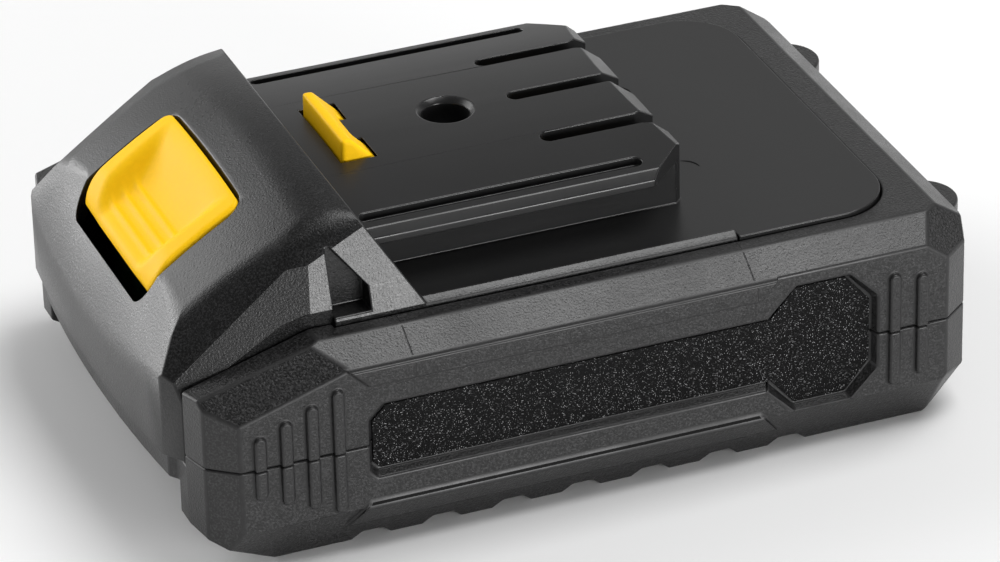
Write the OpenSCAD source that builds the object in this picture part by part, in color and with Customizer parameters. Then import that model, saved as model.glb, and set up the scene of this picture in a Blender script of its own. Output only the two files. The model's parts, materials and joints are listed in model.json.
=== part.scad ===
// Slide-on power tool battery pack: a row of round cells in a two-part case, with a rail deck,
// a front hood and a sprung release latch.
// X runs along the slide with the release button at -X, Z is up and zero lies under the foot pads.
// The pack is symmetric about the plane Y = 0.

/* [Cells] */
// Diameter of one wrapped cell
cell_d = 18.4; // [17:0.1:20]
// Length of one cell over its end faces
cell_l = 65; // [60:0.5:70]
// Gap between neighbouring cells
cell_gap = 0.6; // [0.4:0.1:2]
// Height of the raised positive end
cell_nub_h = 0.4; // [0.2:0.1:0.8]
// Diameter of the raised positive end
cell_nub_d = 6.4; // [5:0.2:8]
// Running clearance round a cell in its holder
cell_clear = 0.1; // [0.05:0.01:0.3]

/* [Case] */
// Thickness of the case walls
wall = 2.2; // [1.8:0.1:2.8]
// Thickness of the case floor
floor_t = 3.2; // [2.6:0.1:5]
// Room between the cell row and the end of the case
end_room = 7.8; // [7:0.1:12]
// Room between the cell ends and the side of the case
side_room = 5.5; // [5.2:0.1:8]
// Length of each cut corner, along the pack
corner_l = 5; // [4.5:0.1:8]
// Depth of each cut corner, across the pack
corner_w = 7.1; // [6.4:0.1:10]
// Distance of the corner's knee from the end of the case
knee_l = 1.1; // [0.6:0.1:2]
// Distance of the corner's knee from the side of the case
knee_w = 3.1; // [2:0.1:4.5]
// Height of the parting line over the cell axes
part_up = 2.4; // [1:0.1:5]
// Height of the sloping band round the top
band_h = 2.85; // [2:0.05:3.4]
// Depth of the sloping band round the top, across the pack
band_w = 4.3; // [3:0.1:5.5]
// Depth of the undercut under each side
foot_in = 3.15; // [2:0.05:4]
// Height of the undercut under each side
foot_rise = 6.5; // [4:0.1:7]
// Depth of the upward slope under the front end
front_run = 10; // [6:0.2:12]
// Height of the upward slope under the front end
front_rise = 5.5; // [3:0.1:8]
// Depth of the upward slope under the rear end
rear_run = 6.8; // [4:0.2:9]
// Height of the upward slope under the rear end
rear_rise = 7.6; // [4:0.1:9]
// Depth of the slope on top of the rear end
tail_run = 4.3; // [2:0.1:6]
// Drop of the slope on top of the rear end
tail_drop = 3; // [1:0.1:4]
// Length of the sloping front shoulders
shoulder_l = 17.5; // [14:0.5:20]

/* [Side detail] */
// Width of a grip rib
rib_w = 1.6; // [1:0.1:2.4]
// Height of a grip rib over the side
rib_h = 0.7; // [0.4:0.1:1.2]
// Spacing of the grip ribs
rib_pitch = 3.6; // [3:0.1:5]
// Half length of the shortest grip rib
rib_half = 4.6; // [3:0.1:5.5]
// Growth of each next rib at either end
rib_grow = 1.5; // [0.5:0.1:1.7]
// Height of the brow over the side
brow_h = 0.8; // [0.4:0.1:1.4]
// Height of the brow's face
brow_w = 2.7; // [1.5:0.1:3.2]
// Depth of the label recess
recess_d = 1.4; // [0.8:0.1:1.8]
// Thickness of the label
label_t = 0.3; // [0.2:0.05:0.5]
// Half height of the label's long band
label_half = 5.4; // [4:0.1:6]
// Half height of the label's wide end
lobe_half = 9.5; // [8:0.1:9.8]
// Pitch of the grooves between the foot pads
groove_pitch = 9.9; // [8:0.1:10.4]
// Depth of the grooves between the foot pads
groove_d = 1.3; // [0.6:0.1:1.6]
// Width of the grooves at the ground
groove_w = 5.5; // [4:0.1:6.5]

/* [Slide rail] */
// Rise of the deck plate over the case top
deck_proud = 0.5; // [0.3:0.1:1]
// Thickness of the deck plate
deck_t = 2.7; // [2.2:0.1:3.5]
// Corner radius of the deck plate
plate_r = 8.5; // [4:0.5:12]
// Distance of the rail's rear end from the rear of the case
rail_back = 35.2; // [33:0.2:40]
// Distance of the deck plate's end from the rear of the case
plate_back = 8.7; // [8:0.1:14]
// Width of the rail under its lips
rail_w = 38.4; // [37:0.2:40]
// Width of the rail over its lips
lip_w = 48.8; // [46:0.2:51]
// Clear height under the lips
lip_under = 6.1; // [5:0.1:7]
// Height of the rail's crown over the deck plate
rail_h = 10.35; // [10:0.05:12]
// Radius of the rail's crowned top
crown_r = 130; // [110:5:300]
// Length of the slanted lead-in at the lips' rear ends
lead_in = 6.2; // [4:0.1:7]
// Thickness of the rail's walls
rail_t = 2.2; // [1.6:0.1:2.6]
// Width of a terminal slot
slot_w = 2.4; // [1.8:0.1:3]
// Spacing of the terminal slots
slot_pitch = 11.8; // [10:0.1:12.2]
// Length of a terminal slot
slot_l = 17.3; // [14:0.1:18]
// Distance of the deck screw from the rail's rear end
deck_screw_back = 26.25; // [25:0.25:27]

/* [Hood] */
// Reach of the hood's nose beyond the case
nose_out = 3.3; // [3:0.1:4]
// Sagitta of the bowed nose
nose_bow = 1.4; // [0.6:0.1:2]
// Height of the hood's top over the rail's crown
hood_up = 3.95; // [3:0.05:5]
// Length of the hood, from its nose to its rear edge on top
hood_l = 28; // [27.2:0.1:29]
// Length of the flat top of the hood
hood_flat = 3.2; // [2.5:0.1:3.6]
// Width of the frame on either side of the hood and the deck
frame_w = 7; // [6.6:0.1:9]
// Distance of the hood's ridges from its sides
ridge_in = 4.9; // [4.5:0.1:6]
// Distance of the nose's corners from the hood's sides
nose_in = 4; // [3:0.1:5]
// Thickness of the hood's walls
hood_t = 2.2; // [1.8:0.1:2.4]
// Radius of the hood's crowned top
hood_crown_r = 134; // [120:2:300]
// Backward slope of the hood's rear face
hood_lean = 0.62; // [0.5:0.02:0.7]
// Distance of the sill behind the hood's nose
sill_in = 1.1; // [1:0.1:2]
// Depth of the recess in the case under the sill
sill_recess = 3; // [2:0.1:3]

/* [Latch] */
// Travel of the release latch
latch_travel = 3.5; // [2.8:0.1:3.8]
// Width of the button
button_w = 28.4; // [26:0.2:29]
// Length of the button
button_l = 13; // [12:0.1:13.4]
// Rise of the button over the hood
button_proud = 0.4; // [0:0.1:0.8]
// Clearance round the button and the hook
latch_clear = 0.4; // [0.3:0.05:0.6]
// Width of the hook
hook_w = 15.6; // [13:0.2:17]
// Height of the hook over the rail's crown
hook_up = 2.55; // [2:0.05:2.7]
// Wire diameter of the latch springs
wire_d = 0.7; // [0.5:0.05:0.8]
// Mean diameter of the latch springs
coil_d = 5.8; // [5:0.1:7]

/* [Inside] */
// Thickness of the circuit board
board_t = 1.6; // [1:0.1:2]
// Thickness of the nickel strips
strip_t = 0.3; // [0.2:0.05:0.5]
// Thickness of the insulating sheets
sheet_t = 0.4; // [0.2:0.05:0.6]
// Diameter of the case screws
screw_d = 2.9; // [2.5:0.1:3.2]
// Clearance between pieces that are assembled by hand
fit = 0.2; // [0.1:0.05:0.3]

/* [Hidden] */
$fn = 48;
cells = 5;
eps = 0.01;
far_out = 120;

// Levels, from the floor up
cell_seat = 0.8;
cell_z = floor_t + cell_seat + cell_d / 2;
part_z = cell_z + part_up;
holder_top = cell_z + cell_d / 2 + 1;
post_h = 1.8;
board_z = holder_top + post_h;
board_top = board_z + board_t;
deck_z = board_top + 1.2;
floor_z = deck_z + deck_t;
top_z = floor_z - deck_proud;
roof_z = deck_z - 1.5;
side_z = top_z - band_h;
lip_z = floor_z + lip_under;
crown_z = floor_z + rail_h;
hood_z = crown_z + hood_up;

// Plan sizes
cell_pitch = cell_d + cell_gap;
row_l = cells * cell_pitch - cell_gap;
body_l = row_l + 2 * end_room;
body_w = cell_l + 2 * side_room;
end_x = body_l / 2;
side_y = body_w / 2;
side_x = end_x - corner_l;
hood_w = body_w - 2 * frame_w;
plate_w = hood_w;
ridge_w = hood_w - 2 * ridge_in;
nose_w = hood_w - 2 * nose_in;
inner_y = side_y - recess_d - wall;
rail_x = end_x - rail_back;
plate_x = end_x - plate_back;
nose_x = -end_x - nose_out;
screw_r = screw_d / 2;

// Case screws: the rear pair stands in round towers, the front pair under the nose
tower_r = 5;
tower_x = end_x + nose_out - tower_r;
tower_y = 22.5;
tower_drop = 4.5;
tower_z = top_z - tower_drop;
nose_drop = 1.6;
nose_z = part_z - nose_drop;
nose_t = 4;
nose_low = nose_z - nose_t;
nose_screw_back = 2.4;
nose_screw_x = -end_x + nose_screw_back;
nose_screw_y = 19;
nose_boss_r = 3.8;
hood_boss_r = 3;
head_r = 2.4;
head_h = 2;
head_sink = 2.5;
nose_seat = nose_low + head_sink;
tower_seat = rear_rise + head_h;
screw_l = 12;
pilot_over = 0.6;
boss_over = 2;
pilot_r = screw_r + 0.05;

// Hood
hood_in = (hood_w - 2 * hood_t) / 2;
lip_in = 1;
ledge_in = 6;
bay_y = hood_w / 2 - lip_in + fit;
hood_clear = 0.6;
hood_foot = holder_top + 0.8;
hood_edge_x = nose_x + hood_l;
crease_up = 7.8;
crease_z = part_z + crease_up;
flat_x = hood_edge_x - hood_flat;
strip_w = 1.4;
strip_up = 0.5;
strip_bevel_w = 0.9;
strip_bevel_h = 0.7;
strip_end = rail_x + 2.8;
deck_front = hood_edge_x - 2.8;
shelf_x = deck_front - 6.3;
shelf_l = 5.4;
shelf_t = 2;
shelf_top = hood_foot + shelf_t;

// Latch
button_back = 17.9;
button_rear = nose_x + button_back;
button_front = button_rear - button_l;
button_foot = hood_foot + latch_travel + 0.3;
plate_t = 2.6;
latch_plate_down = 6.45;
latch_plate_z = crown_z - latch_plate_down;
latch_plate_w = 27;
hook_back = 34.3;
hook_x = nose_x + hook_back;
hook_l = 5.2;
hook_top = crown_z + hook_up;
hook_flat = 1.3;
hook_notch_x = hook_x + 3;
hook_notch_w = 6.6;
scoop_down = 7.4;
scoop_z = crown_z - scoop_down;
spring_x = shelf_x + shelf_l / 2;
spring_in = 2.2;
spring_y = button_w / 2 - spring_in;
spring_turns = 6;
spring_l = latch_plate_z - shelf_top - 2 * fit;
spring_pin_r = 1.7;
spring_pin_h = 1.6;
opening_front = 1.65;
opening_r = 3;

// Inside
holder_t = 6;
holder_in = cell_l / 2 - 0.5 - holder_t;
holder_l = row_l + 3.6;
strip_z = 8;
strip_over = 4;
holder_cut = 4;
post_y = holder_in - 0.2;
board_w = 2 * post_y + 4;
ledge_y = board_w / 2 + 0.7;
board_l = 48;
post_x = board_l / 2 - 5;
post_r = 2.4;
block_l = 28;
block_w = 31;
block_h = 4.2;
block_x = rail_x - rail_t - block_l - fit;
block_z = board_top + block_h;
deck_screw_x = rail_x - deck_screw_back;
deck_bore_r = 3.2;
deck_boss_r = 4.6;
deck_bore_cut = 0.75;
deck_boss_z = block_z + 1.2;
deck_seat_z = deck_boss_z + 1.8;
clip_l = 11;
clip_w = 4;
clip_h = 5.6;
clip_t = 0.6;
clip_x = rail_x - slot_l + 1.5;
bead_r = 1.2;

// Shared shapes

// An outline in Y and Z, drawn out along X
module prism_x(points, x0, x1)
    translate([x0, 0, 0]) rotate([90, 0, 90]) linear_extrude(x1 - x0) polygon(points);

// An outline in X and Z, drawn out along Y
module prism_y(points, y0, y1)
    translate([0, y1, 0]) rotate([90, 0, 0]) linear_extrude(y1 - y0) polygon(points);

// An outline in X and Y, drawn up along Z
module prism_z(points, z0, z1)
    translate([0, 0, z0]) linear_extrude(z1 - z0) polygon(points);

// A box from one corner to the other
module box(low, high)
    translate(low) cube(high - low);

// The space above a plane through p that climbs by slope_x and slope_y
module above(p, slope_x, slope_y)
    translate(p)
        rotate([0, -atan(norm([slope_x, slope_y])), atan2(slope_y, slope_x)])
            translate([-far_out, -far_out, 0]) cube([2 * far_out, 2 * far_out, far_out]);

// The space below a plane through p that climbs by slope_x and slope_y
module below(p, slope_x, slope_y)
    mirror([0, 0, 1]) above([p[0], p[1], -p[2]], -slope_x, -slope_y);

// A shape and its mirror image across Y = 0
module both_sides() {
    children();
    mirror([0, 1, 0]) children();
}

// An upright cylinder at a place
module post(x, y, z0, z1, r)
    translate([x, y, z0]) cylinder(r = r, h = z1 - z0);

// A half outline with positive Y, closed by its mirror image
function both_y(points) = concat(points, [for (i = [len(points) - 1:-1:0]) [points[i][0], -points[i][1]]]);

// A half outline in Y and Z, closed by its mirror image
function both_yz(points) = concat(points, [for (i = [len(points) - 1:-1:0]) [-points[i][0], points[i][1]]]);

// Plan outline of the case, moved in by a given amount
function case_plan(inset) =
    let (x = end_x - inset, y = side_y - inset, s = side_x - inset * 0.45)
    both_y([
        [-x, side_y - corner_w], [-x + knee_l, y - knee_w], [-s, y],
        [s, y], [x - knee_l, y - knee_w], [x, side_y - corner_w]
    ]);

// Outline of the label in X and Z, moved in by a given amount: the long band, then the wide end
lobe_back = 23.2;
lobe_x = end_x - lobe_back;
lobe_flat = 4;
lobe_cut = 4;
label_front = 22.6;
label_x = -end_x + label_front;
label_up = 0.4;
label_z = part_z + label_up;
low_cut = 1;
high_cut = 2;
function band_points(inset) = [
    [label_x + inset, label_z - label_half + low_cut + inset],
    [label_x + low_cut + inset, label_z - label_half + inset],
    [lobe_x, label_z - label_half + inset], [lobe_x, label_z + label_half - inset],
    [label_x + high_cut + inset, label_z + label_half - inset],
    [label_x + inset, label_z + label_half - high_cut - inset]
];
function lobe_points(inset) =
    let (h = lobe_half - inset, w = lobe_flat + lobe_cut - inset, f = lobe_flat - inset * 0.4)
    let (g = h - lobe_cut - inset * 0.1)
    let (ring = [[w, -g], [w, g], [f, h], [-f, h], [-w, g], [-w, -g], [-f, -h], [f, -h]])
    [for (p = ring) [lobe_x + p[0], label_z + p[1]]];

// Case shells

// Slopes that cut the front shoulders and the top rear corners, moved in by a given amount
shoulder_in = 0.5;
shoulder_climb = 0.32;
front_climb = 0.3;
rear_cut_in = 1.2;
rear_climb = -0.75;
under_slope = 1.6;
side_lean = 1.5;
front_lean = 1.2;
module corner_cuts(inset)
    both_sides() {
        above([-end_x + shoulder_l, side_y - band_w + shoulder_in, top_z - side_lean * inset],
            shoulder_climb, -1);
        above([-end_x + shoulder_l, 0, top_z - front_lean * inset], front_climb, 0);
        above([side_x - rear_cut_in, side_y - band_w, top_z - side_lean * inset], rear_climb, -1);
    }

// Outer form of both case halves, without side detail
module case_form()
    difference() {
        intersection() {
            prism_z(case_plan(0), 0, top_z);
            prism_x(both_yz([
                [side_y - foot_in, 0], [side_y, foot_rise], [side_y, side_z], [side_y - band_w, top_z]
            ]), -end_x, end_x);
            prism_y([
                [-end_x, front_rise], [-end_x + front_run, 0], [end_x - rear_run, 0], [end_x, rear_rise],
                [end_x, top_z - tail_drop], [end_x - tail_run, top_z], [-end_x, top_z]
            ], -side_y, side_y);
        }
        corner_cuts(0);
        both_sides() below([end_x - rear_run, side_y - foot_in, 0], rear_rise / rear_run, under_slope);
    }

// Grip ribs, brow and the drafted label recess on both sides
module rib(x, half, shift)
    for (z = [-half + rib_w / 2, half - rib_w / 2])
        translate([x, side_y - wall, part_z + shift + z])
            rotate([-90, 0, 0]) cylinder(d = rib_w, h = wall + rib_h);

module rib_bar(x, half, shift)
    box(
        [x - rib_w / 2, side_y - wall, part_z + shift - half + rib_w / 2],
        [x + rib_w / 2, side_y + rib_h, part_z + shift + half - rib_w / 2]
    );

rib_shift = 0.3;
front_rib_in = 2.6;
front_rib_x = -side_x + front_rib_in;
rear_rib_in = 3.9;
rear_rib_x = side_x - rear_rib_in;
rear_rib_pitch = 4;
rear_rib_half = 7.6;
rear_rib_grow = 0.8;
module ribs()
    both_sides() {
        for (i = [0:3]) {
            rib(front_rib_x + i * rib_pitch, rib_half + i * rib_grow, rib_shift);
            rib_bar(front_rib_x + i * rib_pitch, rib_half + i * rib_grow, rib_shift);
        }
        for (i = [0:1]) {
            rib(rear_rib_x - i * rear_rib_pitch, rear_rib_half + i * rear_rib_grow, rib_shift);
            rib_bar(rear_rib_x - i * rear_rib_pitch, rear_rib_half + i * rear_rib_grow, rib_shift);
        }
    }

brow_front = 2.6;
brow_back = 6.6;
brow_x0 = label_x - brow_front;
brow_x1 = lobe_x - brow_back;
module brow()
    both_sides()
        prism_y([
            [brow_x0, side_z], [brow_x0 + brow_w, side_z - brow_w],
            [brow_x1 - brow_w, side_z - brow_w], [brow_x1, side_z]
        ], side_y - wall, side_y + brow_h);

recess_draft = 0.5;
module recess()
    both_sides()
        for (part = [0, 1])
            hull() {
                prism_y(part == 0 ? band_points(0) : lobe_points(0), side_y, side_y + brow_h + eps);
                prism_y(part == 0 ? band_points(recess_draft) : lobe_points(recess_draft),
                    side_y - recess_d, side_y - recess_d + eps);
            }

// The hollow of both case halves, round the screw towers and the front screw bosses
hollow_x = -end_x + sill_recess + wall;
module case_hollow()
    difference() {
        intersection() {
            prism_z(case_plan(wall), floor_t, roof_z);
            prism_y([
                [hollow_x, front_rise * (1 - (sill_recess + wall) / front_run) + wall],
                [-end_x + front_run, floor_t - 1], [end_x - rear_run, floor_t - 1],
                [end_x - wall, rear_rise + wall / 2], [end_x - wall, top_z], [hollow_x, top_z]
            ], -inner_y, inner_y);
        }
        corner_cuts(wall);
        screw_tower(0, tower_z);
        both_sides() post(nose_screw_x, nose_screw_y, 0, nose_z, nose_boss_r);
    }

module screw_tower(z0, z1)
    both_sides() post(tower_x, tower_y, z0, z1, tower_r);

// Raised panel on the undercut below the label
panel_h = 0.5;
panel_up = 1.15;
panel_z = foot_rise + panel_up;
panel_flare = 0.5;
panel_low = 3.6;
module foot_panel()
    both_sides()
        intersection() {
            prism_x([
                [side_y - foot_in - 1, panel_h], [side_y - foot_in + panel_h, panel_h / 2],
                [side_y + panel_h, foot_rise], [side_y - 0.1, panel_z], [side_y - wall, panel_z]
            ], -end_x, end_x);
            prism_y([
                [brow_x0 - panel_flare, panel_low], [brow_x0 + brow_w, panel_z],
                [brow_x1 - brow_w, panel_z], [brow_x1 + panel_flare, panel_low]
            ], 0, side_y + 2);
        }

// Lower shell: tray, nose sill, foot pads and the lower half of the towers
groove_shift = -1.8;
module lower_case()
    color("#26262a")
    difference() {
        union() {
            intersection() {
                union() {
                    case_form();
                    ribs();
                }
                box([-far_out, -far_out, 0], [far_out, far_out, part_z]);
            }
            prism_z(sill_plan(), nose_low, nose_z);
            screw_tower(rear_rise - 1, part_z);
            foot_panel();
        }
        case_hollow();
        recess();
        // Recess under the sill
        box([-far_out, -sill_y, -eps], [-end_x + sill_recess, sill_y, nose_low]);
        // Front wall between the corner posts, lowered for the hood
        box([-end_x - eps, -bay_y, nose_z], [-end_x + corner_l, bay_y, part_z + eps]);
        for (i = [-3:3])
            translate([i * groove_pitch + groove_shift, 0, 0])
                prism_y([
                    [-groove_w / 2, -eps], [-groove_w / 4, groove_d],
                    [groove_w / 4, groove_d], [groove_w / 2, -eps]
                ], -side_y, side_y);
        both_sides() {
            post(tower_x, tower_y, 0, part_z + eps, screw_r + fit);
            post(tower_x, tower_y, 0, tower_seat, head_r + fit);
            post(nose_screw_x, nose_screw_y, 0, part_z, screw_r + fit);
            post(nose_screw_x, nose_screw_y, 0, nose_seat, head_r + fit);
        }
    }

// Plan of the hood's bowed nose and sides, moved in by a given amount
nose_bow_r = (pow(nose_w / 2, 2) + pow(nose_bow, 2)) / (2 * nose_bow);
function nose_arc(inset) =
    let (a = asin((nose_w / 2 - inset) / nose_bow_r))
    [for (i = [0:6]) let (t = a * i / 6) [nose_x + inset + nose_bow_r * (1 - cos(t)), nose_bow_r * sin(t)]];
nose_knee = 0.8;
function nose_sides(inset, rear) = both_y(concat(
    nose_arc(inset), [[-end_x + nose_knee + inset, hood_w / 2 - inset], [rear, hood_w / 2 - inset]]
));
function hood_plan(inset) = nose_sides(inset, strip_end);
sill_y = nose_w / 2 + 0.3;
function sill_plan() = nose_sides(sill_in, -end_x + corner_l);

// Upper shell: the ring that carries the deck and flanks the hood
module upper_case()
    color("#2a2a2e")
    difference() {
        union() {
            intersection() {
                union() {
                    case_form();
                    ribs();
                    brow();
                }
                box([-far_out, -far_out, part_z], [far_out, far_out, far_out]);
            }
            screw_tower(part_z, tower_z);
        }
        case_hollow();
        recess();
        // Open bay for the hood
        box([-far_out, -bay_y, part_z - eps], [notch_x - fit + eps, bay_y, far_out]);
        // Pocket and opening for the deck, which rests on the ledge between them
        plate_outline(notch_x, fit, deck_z, far_out);
        prism_z(both_y([[notch_x - 1, ledge_y], [plate_x - ledge_in, ledge_y]]), part_z, far_out);
        both_sides() post(tower_x, tower_y, part_z - eps, tower_z - boss_over, pilot_r);
    }

// The deck plate at its full width, from a given front end, grown by a given amount
module plate_outline(front, grow, z0, z1) {
    r = plate_r + grow;
    y = plate_w / 2 + grow;
    x = plate_x + grow;
    box([front - grow, -y, z0], [x - r, y, z1]);
    box([x - r - eps, -y + r, z0], [x, y - r, z1]);
    both_sides() post(x - r, y - r, z0, z1, r);
}

// Slide deck: plate, crowned rail with undercut lips, terminal slots and hook slot

// Plan of the lips with their slanted lead-in, grown by a given amount
function lip_plan(grow) = both_y([
    [deck_front - grow, lip_w / 2 + grow], [rail_x - lead_in, lip_w / 2 + grow],
    [rail_x, lip_w / 2 - lead_in + grow]
]);

// The crowned cylinder that tops the rail, moved by dz
module crown(dz)
    translate([-far_out, 0, crown_z + dz - crown_r])
        rotate([0, 90, 0]) cylinder(r = crown_r, h = 2 * far_out, $fn = 360);

// Outer form of the rail: the crown over a T-shaped section, grown by a given amount
lip_chamfer = 0.9;
lip_edge_z = crown_z - crown_r + sqrt(pow(crown_r, 2) - pow(lip_w / 2, 2));
rail_fall = 0.7;
rail_fall_l = 3;
module rail_form(grow)
    difference() {
        rail_section(grow);
        above([rail_x - rail_fall_l, 0, crown_z], -rail_fall, 0);
    }

module rail_section(grow)
    intersection() {
        crown(grow);
        prism_x(both_yz([
            [rail_w / 2 + grow, deck_z], [rail_w / 2 + grow, lip_z - grow],
            [lip_w / 2 + grow, lip_z - grow], [lip_w / 2 + grow, lip_edge_z - lip_chamfer + grow],
            [lip_w / 2 - 3 * lip_chamfer, lip_edge_z + 2 * lip_chamfer + grow], [lip_w / 4, far_out]
        ]), -far_out, far_out);
        prism_z(lip_plan(grow), deck_z, far_out);
    }

groove_y = lip_w / 2 - 3.35;
side_groove_w = 1.9;
side_groove_d = 1.1;
side_groove_x0 = hood_edge_x + 4.6;
side_groove_x1 = rail_x - 7.7;
side_groove_z = crown_z - crown_r + sqrt(pow(crown_r, 2) - pow(groove_y, 2)) - side_groove_d;
flare_l = 3.3;
flare_w = 5.2;

module slide_deck()
    color("#232327")
    difference() {
        union() {
            difference() {
                union() {
                    intersection() {
                        plate_outline(deck_front, 0, deck_z, floor_z);
                        prism_z(both_y([
                            [deck_front, hood_w / 2 - strip_w - fit],
                            [strip_end + fit, hood_w / 2 - strip_w - fit],
                            [strip_end + fit, plate_w / 2], [plate_x, plate_w / 2]
                        ]), deck_z, floor_z);
                    }
                    rail_form(0);
                }
                // Hollow of the rail, open towards the board and the latch
                intersection() {
                    crown(-rail_t);
                    box(
                        [deck_front - 1, -rail_w / 2 + rail_t, deck_z - 1],
                        [rail_x - rail_t, rail_w / 2 - rail_t, far_out]
                    );
                }
            }
            intersection() {
                crown(-rail_t / 2);
                post(deck_screw_x, 0, deck_boss_z, far_out, deck_boss_r);
            }
        }
        post(deck_screw_x, 0, deck_z, far_out, screw_r + fit);
        post(deck_screw_x, 0, deck_seat_z, far_out, deck_bore_r);
        translate([deck_screw_x, 0, crown_z - deck_bore_cut + eps])
            cylinder(r1 = deck_bore_r, r2 = deck_bore_r + deck_bore_cut, h = deck_bore_cut);
        both_sides()
            for (end = [0, 1]) {
                post(side_groove_x0 + end * (side_groove_x1 - side_groove_x0), groove_y,
                    side_groove_z, far_out, side_groove_w / 2);
                if (end == 0)
                    box([side_groove_x0, groove_y - side_groove_w / 2, side_groove_z],
                        [side_groove_x1, groove_y + side_groove_w / 2, far_out]);
            }
        for (i = [-1:1])
            translate([0, i * slot_pitch, 0]) {
                post(rail_x - slot_l + slot_w / 2, 0, floor_z + 1, far_out, slot_w / 2);
                box([rail_x - slot_l + slot_w / 2, -slot_w / 2, floor_z + 1],
                    [rail_x + 1, slot_w / 2, far_out]);
                prism_z(both_y([
                    [rail_x - flare_l, slot_w / 2], [rail_x + eps, flare_w / 2]
                ]), lip_z - 2, far_out);
            }
        hook_slot();
    }

// Slot for the hook: slanted behind it like the hook's ramp, with a tongue in the hook's notch
ramp_clear = 1.4 * latch_clear;
module hook_slot()
    difference() {
        prism_y([
            [hook_x - latch_clear, floor_z], [hook_x - latch_clear, hook_top],
            [hook_x + hook_flat + ramp_clear, hook_top],
            [hook_x + hook_l + ramp_clear, hook_top - hook_l + hook_flat],
            [hook_x + hook_l + ramp_clear, floor_z]
        ], -hook_w / 2 - latch_clear, hook_w / 2 + latch_clear);
        box([hook_notch_x + latch_clear, -hook_notch_w / 2 + latch_clear, 0],
            [far_out, hook_notch_w / 2 - latch_clear, far_out]);
    }

// Front hood

// Drop of the hood's top line at a distance in front of its flat
round_l = 3;
hood_slope = 0.4026;
hood_curve = 0.00887;
function hood_fall(u) =
    (u < -round_l ? 0 : u < round_l ? hood_slope * pow(u + round_l, 2) / (4 * round_l) : hood_slope * u)
    + hood_curve * pow(max(u, 0), 2);

// The crowned body under the hood's top line, moved by dz
hood_back = -30;
hood_reach = 26;
hood_core = 45;
hood_steps = [hood_back, -3, -1.5, 0, 1.5, 3, 6, 9, 12, 15, 18, 21, hood_reach];
module hood_crown(dz)
    translate([0, 0, hood_z + dz - hood_crown_r])
        rotate([0, -90, 0])
            rotate_extrude($fn = 360)
                polygon(concat(
                    [for (u = hood_steps) [hood_crown_r - hood_fall(u), u - flat_x]],
                    [
                        [hood_crown_r - hood_core, hood_reach - flat_x],
                        [hood_crown_r - hood_core, hood_back - flat_x]
                    ]
                ));

// Outline of the hood from the side: nose, front slope, and rear face, moved in by a given amount
front_slope = 1.7;
function hood_side(inset, foot) = [
    [nose_x + inset, foot], [nose_x + inset, crease_z - 0.5 * inset],
    [nose_x + inset + 20 / front_slope, crease_z - 0.5 * inset + 20],
    [hood_edge_x - inset - hood_lean * 2, hood_z + 2],
    [hood_edge_x - inset + hood_lean * (hood_z - foot), foot]
];

// Outer form of the hood, moved in by a given amount: its flanks are cut by a shallow shoulder, a rear
// chamfer, a front chamfer that turns towards the nose, and the steep skirt, which draws in at the nose
flank_in = 9;
flank_drop = 1.58;
flank_shoulder = [0.16, -0.23];
flank_lean = 1.04;
ridge_drop = hood_crown_r - sqrt(pow(hood_crown_r, 2) - pow(ridge_w / 2, 2)) + 0.7;
rear_chamfer = [0.28, -1.03];
rear_chamfer_lean = 1.46;
front_chamfer = [0.72, -0.94];
front_chamfer_lean = 1.55;
front_chamfer_back = 9.3;
front_chamfer_drop = 12.02;
skirt_slope = -3.1;
skirt_in = 3;
skirt_drop = 5;
front_skirt = [0.61, -2.9];
front_skirt_lean = 3.13;
front_skirt_in = 2;
front_skirt_drop = 15.62;
module hood_form(inset, foot)
    difference() {
        intersection() {
            hood_crown(-inset);
            prism_y(hood_side(inset, foot), -hood_w / 2, hood_w / 2);
            prism_z(hood_plan(inset), foot, hood_z + 1);
        }
        both_sides() {
            above([flat_x, hood_w / 2 - flank_in, hood_z - flank_drop - inset * flank_lean],
                flank_shoulder[0], flank_shoulder[1]);
            above([flat_x, ridge_w / 2, hood_z - ridge_drop - inset * rear_chamfer_lean],
                rear_chamfer[0], rear_chamfer[1]);
            above([
                nose_x + front_chamfer_back, ridge_w / 2,
                hood_z - front_chamfer_drop - inset * front_chamfer_lean
            ], front_chamfer[0], front_chamfer[1]);
            above([0, hood_w / 2 - skirt_in - inset, hood_z - skirt_drop], 0, skirt_slope);
            above([
                nose_x + front_chamfer_back, hood_w / 2 - front_skirt_in,
                hood_z - front_skirt_drop - inset * front_skirt_lean
            ], front_skirt[0], front_skirt[1]);
        }
    }

// The shadow gap under the hood's lip, over the front shoulders
lip_gap = 2;
module hood_gap()
    both_sides()
        prism_y([
            [nose_x, 0], [nose_x, top_z + lip_gap - front_climb * (nose_out + shoulder_l)],
            [-end_x + shoulder_l, top_z + lip_gap], [notch_x + eps, top_z + lip_gap], [notch_x + eps, 0]
        ], hood_w / 2 - lip_in, hood_w);

// The two finger notches in the hood's flanks, from the side
notch_l = 5.1;
notch_over = 1.4;
notch_x = hood_edge_x + notch_over - notch_l;
notch_front_drop = 4.2;
notch_rear_up = 3.6;
notch_in = 3.4;
notch_z = floor_z + strip_up;
module notch(grow)
    both_sides()
        prism_y([
            [notch_x - grow, notch_z - grow], [notch_x - grow, hood_z - notch_front_drop + grow],
            [notch_x + notch_l + grow, floor_z + notch_rear_up + grow],
            [notch_x + notch_l + grow, notch_z - grow]
        ], hood_w / 2 - notch_in - grow, hood_w / 2 + 1);

module hood_opening()
    for (x = [button_front - opening_front + opening_r, button_rear + latch_clear - opening_r])
        both_sides()
            post(x, button_w / 2 + latch_clear - opening_r, hood_foot, far_out, opening_r);

module hood_opening_cross() {
    x0 = button_front - opening_front;
    x1 = button_rear + latch_clear;
    y = button_w / 2 + latch_clear;
    box([x0, -y + opening_r, hood_foot], [x1, y - opening_r, far_out]);
    box([x0 + opening_r, -y, hood_foot], [x1 - opening_r, y, far_out]);
}

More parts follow.
